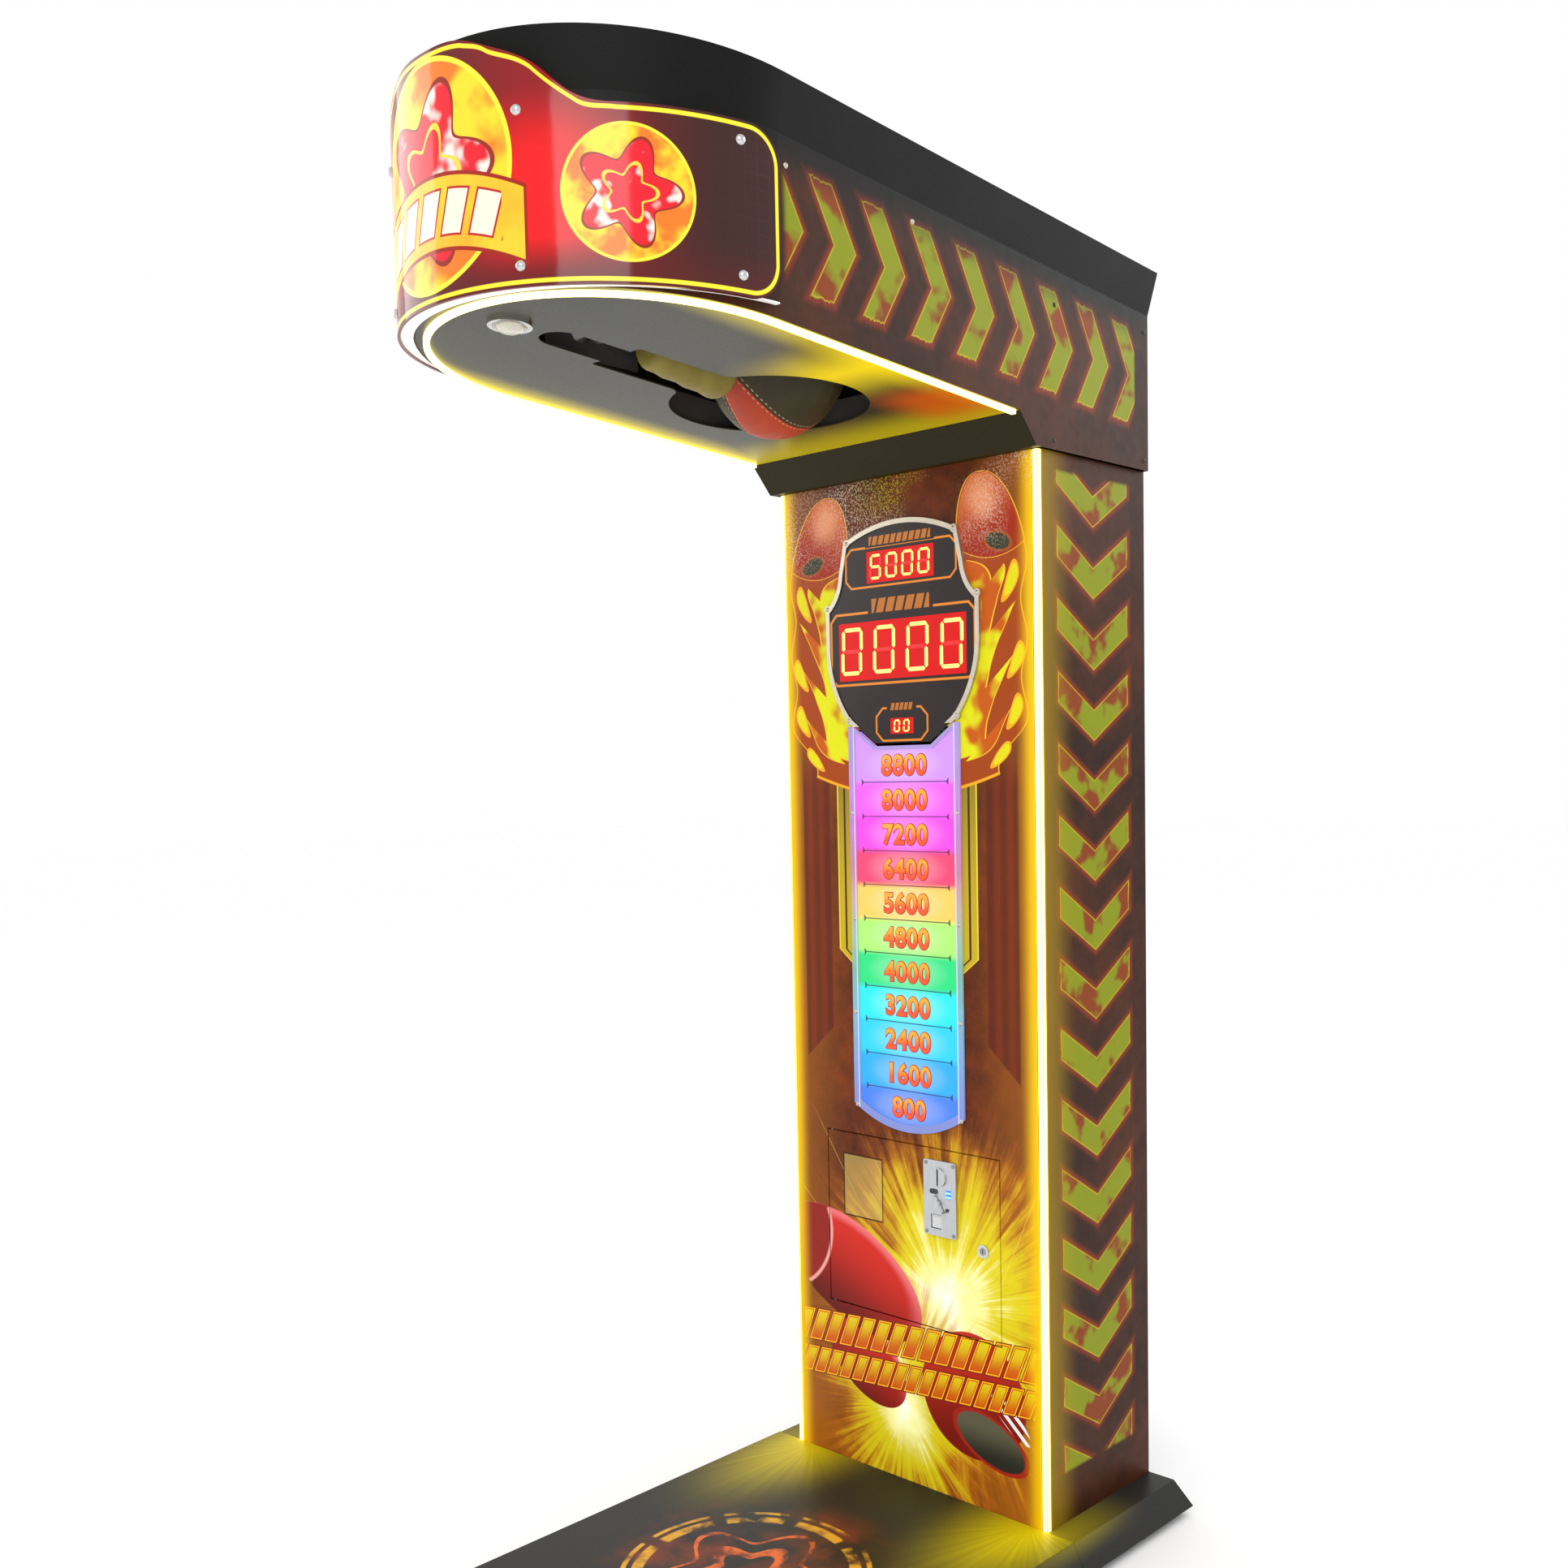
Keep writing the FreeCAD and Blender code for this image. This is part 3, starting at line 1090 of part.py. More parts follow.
# ---- screws and the sheets that they go through --------------------------------------------
side_screw_places = [(y_front - 547, fold_z(y_front - 547) - 36), (y_front - 300, fold_z(y_front - 300) - 30),
                     (y_front + 35, fold_z(y_front + 35) - 52), (y_rear - 12, fold_z(y_rear) - 28),
                     (y_front + 32, z_joint + 13), (y_rear - 12, z_joint + 15)]
side_points = [(V(side * head_half, y, z), V(side, 0, 0)) for y, z in side_screw_places for side in (-1, 1)]
bezel_pairs = [(p, front_out) for p in bezel_points]
ladder_pairs = [(p, front_out) for p in ladder_points]
service_pairs = [(p, rear_out) for p in service_points]
all_pairs = bezel_pairs + ladder_pairs + side_points + service_pairs
keep("panel_screws", group([domed_screw(point, outward) for point, outward in all_pairs]))


def drilled(shape, pairs):
    return shape.cut([hole_along(point, outward) for point, outward in pairs])


keep("display_bezel", drilled(bezel, bezel_pairs))
keep("ladder_frame", drilled(ladder_frame, ladder_pairs))
keep("column_front_panel", drilled(front_panel, bezel_pairs + ladder_pairs))
keep("head_side_wrap", drilled(head_wrap, side_points))
keep("column_back_panel", drilled(back_panel, service_pairs))
keep("rear_service_panel", drilled(service_panel, service_pairs))
keep("head_frame", head_frame)
keep("column_shell", column_shell)

for name, shape in sorted(nodes.items()):
    if not shape.isValid():
        print("not valid:", name)
    shape.exportStep("parts/" + name + ".step")
    print(name, len(shape.Solids), round(shape.Volume / 1000, 1))
print(len(nodes), "nodes")
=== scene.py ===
import bpy
import bmesh
import math
from mathutils import Matrix, Vector


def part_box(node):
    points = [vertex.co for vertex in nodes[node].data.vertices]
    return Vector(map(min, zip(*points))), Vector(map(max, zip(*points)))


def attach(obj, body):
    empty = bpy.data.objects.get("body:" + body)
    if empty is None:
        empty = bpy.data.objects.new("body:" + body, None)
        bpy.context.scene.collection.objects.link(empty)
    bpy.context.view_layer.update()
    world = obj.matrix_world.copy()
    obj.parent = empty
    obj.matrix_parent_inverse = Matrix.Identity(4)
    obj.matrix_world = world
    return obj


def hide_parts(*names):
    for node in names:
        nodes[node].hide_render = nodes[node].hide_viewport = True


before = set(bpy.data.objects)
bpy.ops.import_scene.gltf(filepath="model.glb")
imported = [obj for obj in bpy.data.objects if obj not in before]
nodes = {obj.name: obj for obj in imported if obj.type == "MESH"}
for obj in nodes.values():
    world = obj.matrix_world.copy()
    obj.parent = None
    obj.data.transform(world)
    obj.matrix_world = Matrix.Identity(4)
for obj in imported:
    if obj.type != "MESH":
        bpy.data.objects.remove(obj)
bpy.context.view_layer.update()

# ---- camera, floor and studio light ---------------------------------------------------------
# The machine is seen from the player's right at chest height, close enough that the head
# looms over the viewer. A pale floor and large soft lights stand in for the showroom.
turn, pitch, roll = math.radians(43.452), math.radians(3.879), math.radians(-1.118)
level = math.cos(pitch)
backward = Vector((math.sin(turn) * level, -math.cos(turn) * level, math.sin(pitch)))
rightward = (-backward).cross(Vector((0, 0, 1))).normalized()
upward = rightward.cross(-backward)
camera_x = rightward * math.cos(roll) + upward * math.sin(roll)
camera_y = upward * math.cos(roll) - rightward * math.sin(roll)
bpy.ops.object.camera_add()
camera = bpy.context.object
camera.data.sensor_width = 36.0
camera.data.lens = 36.50
camera.data.shift_x = -0.0196
camera.data.shift_y = 0.0619
camera.data.clip_end = 60.0
camera_place = (1.7071, -1.7332, 1.2762)
turned = Matrix((camera_x, camera_y, backward)).transposed().to_4x4()
camera.matrix_world = Matrix.Translation(camera_place) @ turned
bpy.context.scene.camera = camera
bpy.context.scene.view_settings.view_transform = "Standard"


class Value:
    """A socket in a material; arithmetic on it adds Math nodes."""

    def __init__(self, paint, socket):
        self.paint = paint
        self.socket = socket

    def math(self, operation, *others):
        node = self.paint.node("Math", {"operation": operation}, [self, *others])
        return Value(self.paint, node.outputs[0])

    def __add__(self, other):
        return self.math("ADD", other)

    __radd__ = __add__

    def __sub__(self, other):
        return self.math("SUBTRACT", other)

    def __rsub__(self, other):
        return (self * -1.0) + other

    def __mul__(self, other):
        return self.math("MULTIPLY", other)

    __rmul__ = __mul__

    def __truediv__(self, other):
        return self.math("DIVIDE", other)

    def __abs__(self):
        return self.math("ABSOLUTE")

    def rises(self, low, high):
        """0 below low, 1 above high, smooth between; low above high turns it round."""
        if low > high:
            return 1 - self.rises(high, low)
        sockets = {"Value": self, "From Min": low, "From Max": high}
        node = self.paint.node("MapRange", {"interpolation_type": "SMOOTHSTEP"}, sockets)
        return Value(self.paint, node.outputs[0])

    def under(self, edge, soft=0.0006):
        return self.rises(edge + soft, edge - soft)

    def over(self, edge, soft=0.0006):
        return self.rises(edge - soft, edge + soft)

    def near(self, middle, half, soft=0.0006):
        """1 within half of middle."""
        return abs(self - middle).under(half, soft)

    def smaller(self, other):
        return self.math("MINIMUM", other)

    def larger(self, other):
        return self.math("MAXIMUM", other)


class Paint:
    """A material under construction."""

    def __init__(self, name, **fixed):
        self.material = bpy.data.materials.new(name)
        self.material.use_nodes = True
        self.tree = self.material.node_tree
        self.shader = self.tree.nodes["Principled BSDF"]
        self.shade(**fixed)

    def shade(self, **sockets):
        """Sets or feeds sockets of the material's surface shader."""
        self.feed(self.shader, sockets)

    def feed(self, node, sockets):
        pairs = sockets.items() if isinstance(sockets, dict) else enumerate(sockets)
        for key, given in pairs:
            if isinstance(key, str):
                key = key.replace("_", " ")
            socket = node.inputs[key]
            if isinstance(given, Value):
                self.tree.links.new(given.socket, socket)
            elif isinstance(given, (tuple, list)) and len(given) == 3 and socket.type == "RGBA":
                socket.default_value = (*given, 1.0)
            else:
                socket.default_value = given

    def node(self, kind, settings, sockets):
        node = self.tree.nodes.new("ShaderNode" + kind)
        for key, setting in settings.items():
            setattr(node, key, setting)
        self.feed(node, sockets)
        return node

    def out(self, kind, settings, sockets, index=0):
        return Value(self, self.node(kind, settings, sockets).outputs[index])

    def place(self):
        """Object coordinates, and their x, y and z in metres."""
        spot = self.out("TexCoord", {}, [], 3)
        parts = self.node("SeparateXYZ", {}, [spot])
        return (spot, *[Value(self, output) for output in parts.outputs])

    def noise(self, spot, scale, detail=3.0, rough=0.55, stretch=None):
        if stretch:
            spot = self.out("Mapping", {}, {"Vector": spot, "Scale": stretch})
        sockets = {"Vector": spot, "Scale": scale, "Detail": detail, "Roughness": rough}
        return self.out("TexNoise", {}, sockets)

    def cells(self, spot, scale, scatter=1.0):
        """Distance to the edge of the nearest cell."""
        sockets = {"Vector": spot, "Scale": scale, "Randomness": scatter}
        return self.out("TexVoronoi", {"feature": "DISTANCE_TO_EDGE"}, sockets)

    def join(self, x, y, z=0.0):
        return self.out("CombineXYZ", {}, [x, y, z])

    def curve(self, along, stops):
        """A smooth curve through (place, height) stops."""
        node = self.node("ValToRGB", {}, {})
        band = node.color_ramp
        while len(band.elements) < len(stops):
            band.elements.new(0.5)
        for element, (place, height) in zip(band.elements, stops):
            element.position = place
            element.color = (height, height, height, 1.0)
        band.interpolation = "CARDINAL"
        self.feed(node, [along])
        return self.out("RGBToBW", {}, [Value(self, node.outputs[0])])

    def mix(self, share, first, second):
        node = self.tree.nodes.new("ShaderNodeMix")
        node.data_type = "RGBA"
        self.feed(node, {0: share, 6: first, 7: second})
        return Value(self, node.outputs[2])

    def layers(self, colour, *masked):
        """Lays each tint over the colour where its mask is 1."""
        for mask, tint in masked:
            colour = self.mix(mask, colour, tint)
        return colour

    def bump(self, height, strength, distance):
        normal = self.out("Bump", {}, {"Height": height, "Strength": strength, "Distance": distance})
        self.shade(Normal=normal)

    def on(self, *names):
        """Gives the material to these pieces of the frame."""
        for name in names:
            for slot in nodes[name].material_slots:
                slot.material = self.material


def cloudy(name, scale, detail, dark, light, rough, grain=None, **fixed):
    """A paint that drifts between two colours and two roughnesses, with a fine grain if given."""
    paint = Paint(name, **fixed)
    spot = paint.place()[0]
    cloud = paint.noise(spot, scale, detail)
    paint.shade(
        Base_Color=paint.mix(cloud, dark, light),
        Roughness=cloud * (rough[1] - rough[0]) + rough[0])
    if grain:
        grain_scale, grain_detail, strength, distance = grain
        paint.bump(paint.noise(spot, grain_scale, grain_detail), strength, distance)
    return paint


def deselect():
    bpy.ops.object.select_all(action="DESELECT")


def settle(piece, name, paint, body, sharp=35.0):
    """Applies a new piece's place, smooths it, paints it and lets it ride on its body."""
    deselect()
    piece.select_set(True)
    bpy.context.view_layer.objects.active = piece
    bpy.ops.object.transform_apply(location=True, rotation=True, scale=True)
    if sharp:
        bpy.ops.object.shade_smooth_by_angle(angle=math.radians(sharp))
    piece.name = name
    piece.data.materials.clear()
    piece.data.materials.append(paint.material)
    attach(piece, body)
    return piece


floor_paint = Paint("studio_floor", Roughness=0.6)
spot, x, y, z = floor_paint.place()
floor_colour = floor_paint.mix(floor_paint.noise(spot, 0.6), (0.92, 0.92, 0.92), (0.95, 0.95, 0.95))
floor_colour = floor_paint.mix((x * x + y * y).rises(1.0, 6.0), floor_colour, (1.0, 1.0, 1.0))
floor_paint.shade(Base_Color=floor_colour)
deselect()
bpy.ops.mesh.primitive_plane_add(size=60, location=(0, 0, 0))
floor = bpy.context.object
floor.name = "studio_floor"
floor.data.materials.append(floor_paint.material)

world = bpy.data.worlds.new("studio")
world.use_nodes = True
world.node_tree.nodes["Background"].inputs[0].default_value = (1.0, 1.0, 1.0, 1.0)
world.node_tree.nodes["Background"].inputs[1].default_value = 1.0
bpy.context.scene.world = world


def soft_light(place, size, watts):
    """A large square lamp that faces the middle of the machine."""
    bpy.ops.object.light_add(type="AREA", location=place)
    lamp = bpy.context.object
    lamp.data.size = size
    lamp.data.energy = watts
    lamp.rotation_euler = (Vector((0, 0, 1.2)) - Vector(place)).to_track_quat("-Z", "Y").to_euler()


soft_light((2.6, -3.2, 3.4), 2.4, 60)
soft_light((-3.0, -1.6, 2.6), 2.2, 30)
soft_light((1.6, 3.0, 3.2), 2.4, 40)

# ---- platform -------------------------------------------------------------------------------
# Folded steel covers, powder coated black, over a welded tube frame. The front one carries a
# rubber mat with a printed ring; light from the corner strips is painted over it and the cover.
column_front = 0.2885
corner_x = 0.269

platform_paint = Paint("powder_coat_charcoal", Roughness=0.42, Specular_IOR_Level=0.22)
spot, x, y, z = platform_paint.place()
grime = platform_paint.noise(spot, 7.0, 5.0)
# painted light: yellow from the corner strips laid on the cover's colour beside their feet
painted_strip_light = z.over(0.05, 0.02) * abs(x).near(0.29, 0.05, 0.05) * y.near(0.3, 0.1, 0.1)
platform_colour = platform_paint.mix(grime, (0.009, 0.009, 0.008), (0.018, 0.017, 0.014))
platform_paint.shade(
    Base_Color=platform_paint.mix(painted_strip_light * 0.6, platform_colour, (0.42, 0.33, 0.0)),
    Roughness=grime * 0.25 + 0.33)
platform_paint.bump(platform_paint.noise(spot, 900.0, 2.0), 0.25, 0.0004)
platform_paint.on("front_platform", "column_base")

mat_paint = Paint("printed_rubber_mat", Roughness=0.5, Specular_IOR_Level=0.22)
spot, x, y, z = mat_paint.place()
grime = mat_paint.noise(spot, 5.0, 5.0)
ring_x, ring_y = x, y + 0.115
ring_r = (ring_x * ring_x + ring_y * ring_y).math("SQRT")
ring_turn = ring_y.math("ARCTAN2", ring_x)
worn = mat_paint.noise(spot, 26.0, 4.0).rises(0.36, 0.6)
star = (ring_turn * 5.0).math("SINE") * 0.22 + 1.0
star_edge = ring_r / star
ring = (ring_r.near(0.19, 0.004, 0.001) + ring_r.near(0.168, 0.009, 0.0015)).smaller(1.0)
ring = ring * (ring_turn * 9.0).math("SINE").over(-0.82, 0.08)
star_line = star_edge.near(0.112, 0.0045, 0.001) + star_edge.near(0.06, 0.012, 0.002)
glow = ring_r.under(0.21, 0.06) * mat_paint.noise(spot, 9.0, 4.0).rises(0.4, 0.75)
mat_colour = mat_paint.mix(grime, (0.007, 0.007, 0.005), (0.026, 0.024, 0.016))
mat_colour = mat_paint.layers(
    mat_colour, (glow * 0.7, (0.36, 0.05, 0.004)), (ring * worn, (0.7, 0.35, 0.02)),
    (star_line.smaller(1.0) * worn, (0.75, 0.14, 0.02)))
# painted light: yellow pools where the corner strips light the mat, streaked as they spread
light_pool_y = y - column_front
light_pool_x = abs(x) - 0.24
light_pool = (light_pool_x * light_pool_x * 1.6 + light_pool_y * light_pool_y * 0.35).math("SQRT").rises(0.26, 0.0)
light_pool_streak = mat_paint.noise(mat_paint.join(light_pool_y.math("ARCTAN2", light_pool_x) * 4.0, 0.0, 2.0), 3.0, 2.0)
mat_colour = mat_paint.mix((light_pool * light_pool * (light_pool_streak * 0.8 + 0.5)).smaller(0.9), mat_colour, (0.66, 0.54, 0.0))
mat_paint.shade(Base_Color=mat_colour, Roughness=grime * 0.3 + 0.3)
mat_paint.bump(mat_paint.noise(spot, 700.0, 2.0), 0.35, 0.0005)
mat_paint.on("platform_mat")

steel_paint = cloudy("zinc_plated_steel", 60.0, 4.0, (0.42, 0.42, 0.43), (0.62, 0.62, 0.6), (0.25, 0.5),
                     Metallic=1.0)
steel_paint.on("wheel_axle", "pivot_axle", "sensor_disc", "solenoid_plunger", "latch_hook", "pivot_bearings",
               "door_hinge_brackets", "cash_box", "power_supply")
tube_paint = cloudy("welded_frame_paint", 14.0, 5.0, (0.03, 0.03, 0.032), (0.06, 0.058, 0.055), (0.4, 0.7),
                    (600.0, 2.0, 0.2, 0.0004))
tube_paint.on("platform_frame", "head_frame", "pivot_bracket", "swing_arm")
rubber_paint = cloudy("moulded_rubber", 30.0, 4.0, (0.016, 0.016, 0.016), (0.035, 0.034, 0.033), (0.45, 0.7),
                      (500.0, 3.0, 0.3, 0.0004))
rubber_paint.on("leveling_feet", "transport_wheels", "arm_bumper", "stop_buffers")

# ---- column shell ---------------------------------------------------------------------------
# Folded sheet steel with a printed film on both sides: scorched brown with a row of broken
# chevrons whose edges glow yellow-green. The back flanges and panels are plain black.


def scorched(paint, spot, low=(0.015, 0.0045, 0.002), high=(0.085, 0.021, 0.005)):
    """Smoky brown and rust ground of the printed film."""
    smoke = paint.noise(spot, 4.2, 7.0, 0.66)
    fleck = paint.noise(spot, 38.0, 4.0, 0.7)
    return paint.mix((smoke * 1.5 + fleck * 0.5 - 0.62).rises(0.0, 1.0), low, high)


def chevron_film(paint, spot, along, across, size, shown):
    """The printed ground with a row of chevrons: torn strokes, thin outlines and a halo."""
    pitch, half, stroke = size
    ragged = paint.noise(spot, 240.0, 2.0, 0.5, (1.0, 1.0, 0.12))
    torn = paint.noise(spot, 17.0, 2.0)
    edge_side = half + (ragged - 0.5) * 0.009 - abs(across)
    cell = ((along + abs(across) * 0.6) / pitch).math("FRACT")
    edge = edge_side.smaller(stroke / 2 - abs(cell - 0.5) * pitch)
    body = edge.over(0.0, 0.0008)
    rim = edge.near(0.0016, 0.0011, 0.0005)
    halo = edge.rises(-0.014, 0.002) * (1 - body)
    bars = paint.mix(torn.rises(0.4, 0.52), (0.2, 0.036, 0.004), (0.2, 0.23, 0.003))
    bars = paint.mix(rim * 0.9, bars, (0.42, 0.3, 0.006))
    ground = scorched(paint, spot)
    return paint.layers(ground, (halo * shown * 0.8, (0.24, 0.028, 0.003)), (body * shown, bars))


def film_sheen(paint, spot):
    """The film's slightly uneven gloss, and the dents of the sheet under it."""
    paint.shade(Roughness=paint.noise(spot, 60.0, 3.0) * 0.2 + 0.32)
    paint.bump(paint.noise(spot, 420.0, 2.0), 0.12, 0.0006)


side_paint = Paint("printed_side_film", Specular_IOR_Level=0.12)
spot, x, y, z = side_paint.place()
outside = abs(x).over(0.2735, 0.0003)
shown = z.over(0.145, 0.004) * z.under(1.735, 0.004) * outside
side_colour = chevron_film(side_paint, spot, z * -1.0 + 5.0, y - 0.437, (0.1125, 0.1, 0.05), shown)
# painted light: yellow from the corner strips along each side's front edge, in its colour and its glow
strip_light_on_side = y.rises(0.385, 0.299) * outside
side_colour = side_paint.layers(
    side_colour, (strip_light_on_side * 0.4, (0.42, 0.27, 0.004)), (y.over(0.5865, 0.0004), (0.015, 0.015, 0.015)))
painted_side_glow = side_paint.mix(strip_light_on_side * strip_light_on_side, (0.0, 0.0, 0.0), (0.6, 0.42, 0.0))
# painted light: the film also glows faintly in its own colours
side_paint.shade(
    Base_Color=side_colour, Emission_Strength=0.12,
    Emission_Color=side_paint.mix(0.75, painted_side_glow, side_colour))
film_sheen(side_paint, spot)
side_paint.on("column_shell")

black_paint = Paint("powder_coat_black", Specular_IOR_Level=0.12)
spot, x, y, z = black_paint.place()
grime = black_paint.noise(spot, 6.0, 5.0)
# painted light: the cover under the head glows faintly yellow, as lit by the strips on either side of it
painted_strip_glow = z.under(1.86) * y.under(0.45) * (grime * 0.5 + 0.75)
black_paint.shade(
    Base_Color=black_paint.mix(grime, (0.003, 0.003, 0.003), (0.007, 0.007, 0.0065)),
    Emission_Color=black_paint.mix(painted_strip_glow, (0.0, 0.0, 0.0), (0.5, 0.36, 0.0)),
    Emission_Strength=0.035, Roughness=grime * 0.2 + 0.4)
black_paint.bump(black_paint.noise(spot, 800.0, 2.0), 0.2, 0.0004)
black_paint.on("column_back_panel", "rear_service_panel", "head_back_panel", "head_top_cover",
               "transition_cover")

# ---- corner light strips --------------------------------------------------------------------
# Square silicone profiles with warm yellow diodes inside, set in a fold down each front
# corner of the column. The face burns out to near white and the sides stay yellow.
strip_paint = Paint("lit_silicone_profile", Base_Color=(1.0, 0.85, 0.3), Roughness=0.4)
spot, x, y, z = strip_paint.place()
beads = strip_paint.noise(spot, 90.0, 1.0)
below_head = z.under(1.82, 0.001)
core = abs(x).near(corner_x, 0.0022, 0.0022).larger(below_head * y.near(0.2935, 0.0022, 0.0022))
strip_top = 1.764
core = core * z.under(strip_top, 0.001) + z.over(strip_top, 0.001) * 0.6
strip_colour = strip_paint.mix(beads, (1.0, 0.68, 0.0), (1.0, 0.8, 0.01))
strip_paint.shade(
    Emission_Color=strip_paint.mix(core, strip_colour, (1.0, 0.92, 0.42)),
    Emission_Strength=3.2)
strip_paint.on("corner_led_strips", "underside_led_strip")

# ---- column front and coin door --------------------------------------------------------------
# One flat steel panel and the door cut out of it share a single printed film, laid over both
# before the door's gap was trimmed: flames, glowing embers and rounded padded punch shapes.


def oval(x, z, at_x, at_z, wide, tall, lean=0.0):
    """Distance-like value of a leaning oval: 1 on its edge, 0 at its middle."""
    c, s = math.cos(lean), math.sin(lean)
    across = (x - at_x) * c + (z - at_z) * s
    up = (z - at_z) * c - (x - at_x) * s
    return ((across / wide) * (across / wide) + (up / tall) * (up / tall)).math("SQRT")


front = Paint("printed_front_film", Specular_IOR_Level=0.14)
spot, x, y, z = front.place()
colour = scorched(front, spot, (0.026, 0.005, 0.0015), (0.2, 0.035, 0.003))
warm = abs(x).rises(0.12, 0.262) * 0.5 + z.rises(0.34, 0.1) * 0.35
colour = front.mix(warm, colour, (0.34, 0.105, 0.008))
wobble = front.noise(spot, 9.0, 2.0) - 0.5
# dark red drapes on both sides of the ladder
drape = abs(x).near(0.2, 0.032, 0.002) * (z + abs(x) * 0.9).over(0.985, 0.002) * z.under(1.3, 0.06)
folds = (abs(x) * 240.0).math("SINE").rises(-1.0, 1.0)
folds = front.mix(folds, (0.07, 0.008, 0.003), (0.13, 0.012, 0.003))
colour = front.mix(drape * 0.75, colour, folds)
# olive stripe that frames the ladder and comes to a point below
guide = abs(x) + (0.972 - z).larger(0.0) * 1.25
stripe = guide.under(0.151) * z.under(1.42, 0.01)
olive = front.mix(z.rises(1.42, 1.0), (0.12, 0.09, 0.01), (0.42, 0.3, 0.012))
colour = front.layers(
    colour, (stripe, olive), (guide.near(0.1345, 0.0022) * stripe, (0.05, 0.02, 0.006)),
    (guide.near(0.15, 0.0013) * z.under(1.42, 0.01), (0.6, 0.5, 0.03)))
# flames beside the score display: barbs that lean up and out, and loose tongues off them
rough_x = abs(x) + wobble * 0.02
barb = ((z + wobble * 0.02 - (rough_x - 0.17) * 0.9) / 0.078).math("FRACT")
outer = barb * barb * 0.048 + 0.168 + z.rises(1.34, 1.55) * 0.012
zone_z = z.rises(1.272, 1.33) * z.rises(1.625, 1.57)
flame = (outer - rough_x) * zone_z - (1 - zone_z) * 0.03
aura = 0.247 + (z * 52.0).math("SINE") * 0.006 - z.rises(1.36, 1.27) * 0.05 - abs(x)
aura = aura.smaller((z - 1.236 - x * x * 0.9) * 0.5).smaller((1.632 - z) * 0.7)
colour = front.layers(
    colour, (aura.over(0.0, 0.0012), (0.27, 0.042, 0.003)), (aura.near(0.0, 0.0012), (0.68, 0.3, 0.01)))
hot = front.noise(spot, 13.0, 2.0).rises(0.44, 0.56)
flame_colour = front.mix(hot, (0.56, 0.56, 0.004), (0.42, 0.075, 0.003))
tongues = [(0.226, 1.575, 0.009, 0.031, -0.3), (0.236, 1.452, 0.009, 0.028, -0.35),
           (0.232, 1.372, 0.009, 0.027, -0.3), (0.205, 1.303, 0.008, 0.024, -0.7)]
for at_x, at_z, wide, tall, lean in tongues:
    taper = (z - at_z) / tall
    drop = oval(abs(x) + taper * taper * 0.006, z, at_x, at_z, wide, tall, lean) + taper.larger(0.0) * 0.5
    colour = front.layers(
        colour, (drop.under(1.3, 0.02), (0.68, 0.3, 0.01)), (drop.under(1.0, 0.03), (0.56, 0.52, 0.004)))
colour = front.layers(
    colour, ((flame + 0.003).over(0.0, 0.0008), (0.68, 0.4, 0.02)), (flame.over(0.0, 0.0008), flame_colour))
# rounded padded shapes above the display, pointed at the top
for side in (-1.0, 1.0):
    rise = ((z - 1.618) / 0.126).larger(0.0)
    middle = x * side - 0.186 + rise * 0.022
    width = (1 - rise * rise).larger(0.0).math("SQRT") * 0.062
    dip = (z - 1.612) * 1.9 + 0.005 - middle * middle * 9.0
    pad = (width - abs(middle)).smaller(dip).smaller((1.741 - z) * 1.3)
    shade = (z - 1.69) * 9.0 + middle * -4.0 + 0.5
    pad_colour = front.mix(shade.rises(0.0, 1.0), (0.26, 0.016, 0.004), (0.5, 0.12, 0.03))
    sheen = oval(x, z, side * 0.168, 1.7, 0.034, 0.04, side * 0.5).rises(1.2, 0.2)
    pad_colour = front.mix(sheen * 0.5, pad_colour, (0.75, 0.36, 0.2))
    colour = front.layers(
        colour, ((pad + 0.0042).over(0.0), (0.72, 0.34, 0.02)),
        ((pad + 0.0022).over(0.0), (0.26, 0.05, 0.008)), (pad.over(0.0), pad_colour))
    opening = oval(x, z, side * 0.198, 1.632, 0.026, 0.014, side * -0.3)
    colour = front.layers(
        colour, (opening.under(1.15, 0.05), (0.26, 0.06, 0.01)),
        (opening.under(0.9, 0.06), (0.03, 0.03, 0.012)))
# bursts behind the two lower punch shapes
for at_x, at_z, size in ((0.075, 0.385, 0.25), (-0.02, 0.195, 0.17)):
    dx, dz = x - at_x, z - at_z
    reach = (dx * dx + dz * dz * 0.75).math("SQRT")
    angle = dz.math("ARCTAN2", dx)
    spokes = front.noise(front.join(angle * 2.6, reach * 0.5, 1.0 + at_x), 5.0, 5.0, 0.75)
    cloud = front.noise(spot, 10.0, 4.0)
    strength = 1 - reach / (size * 1.25) + (cloud - 0.5) * 0.7
    strength = strength + (spokes - 0.5) * 1.1 * reach.rises(0.02, 0.12)
    strength = strength * reach.rises(0.42, 0.24)
    colour = front.layers(
        colour, (strength.rises(0.0, 0.45) * 0.8, (0.46, 0.14, 0.006)),
        (strength.rises(0.22, 0.62), (0.6, 0.5, 0.008)), (strength.rises(0.62, 0.95), (0.9, 0.88, 0.4)),
        (strength.rises(0.85, 1.1), (0.85, 0.9, 0.95)))
ray_turn = (z - 0.25 - x * -0.3).math("ARCTAN2", x - 0.09)
rays = front.noise(front.join(ray_turn * 3.0, 0.0, 5.0), 14.0, 1.0)
colour = front.mix(rays.rises(0.66, 0.72) * z.under(0.66, 0.05) * 0.45, colour, (0.9, 0.62, 0.12))
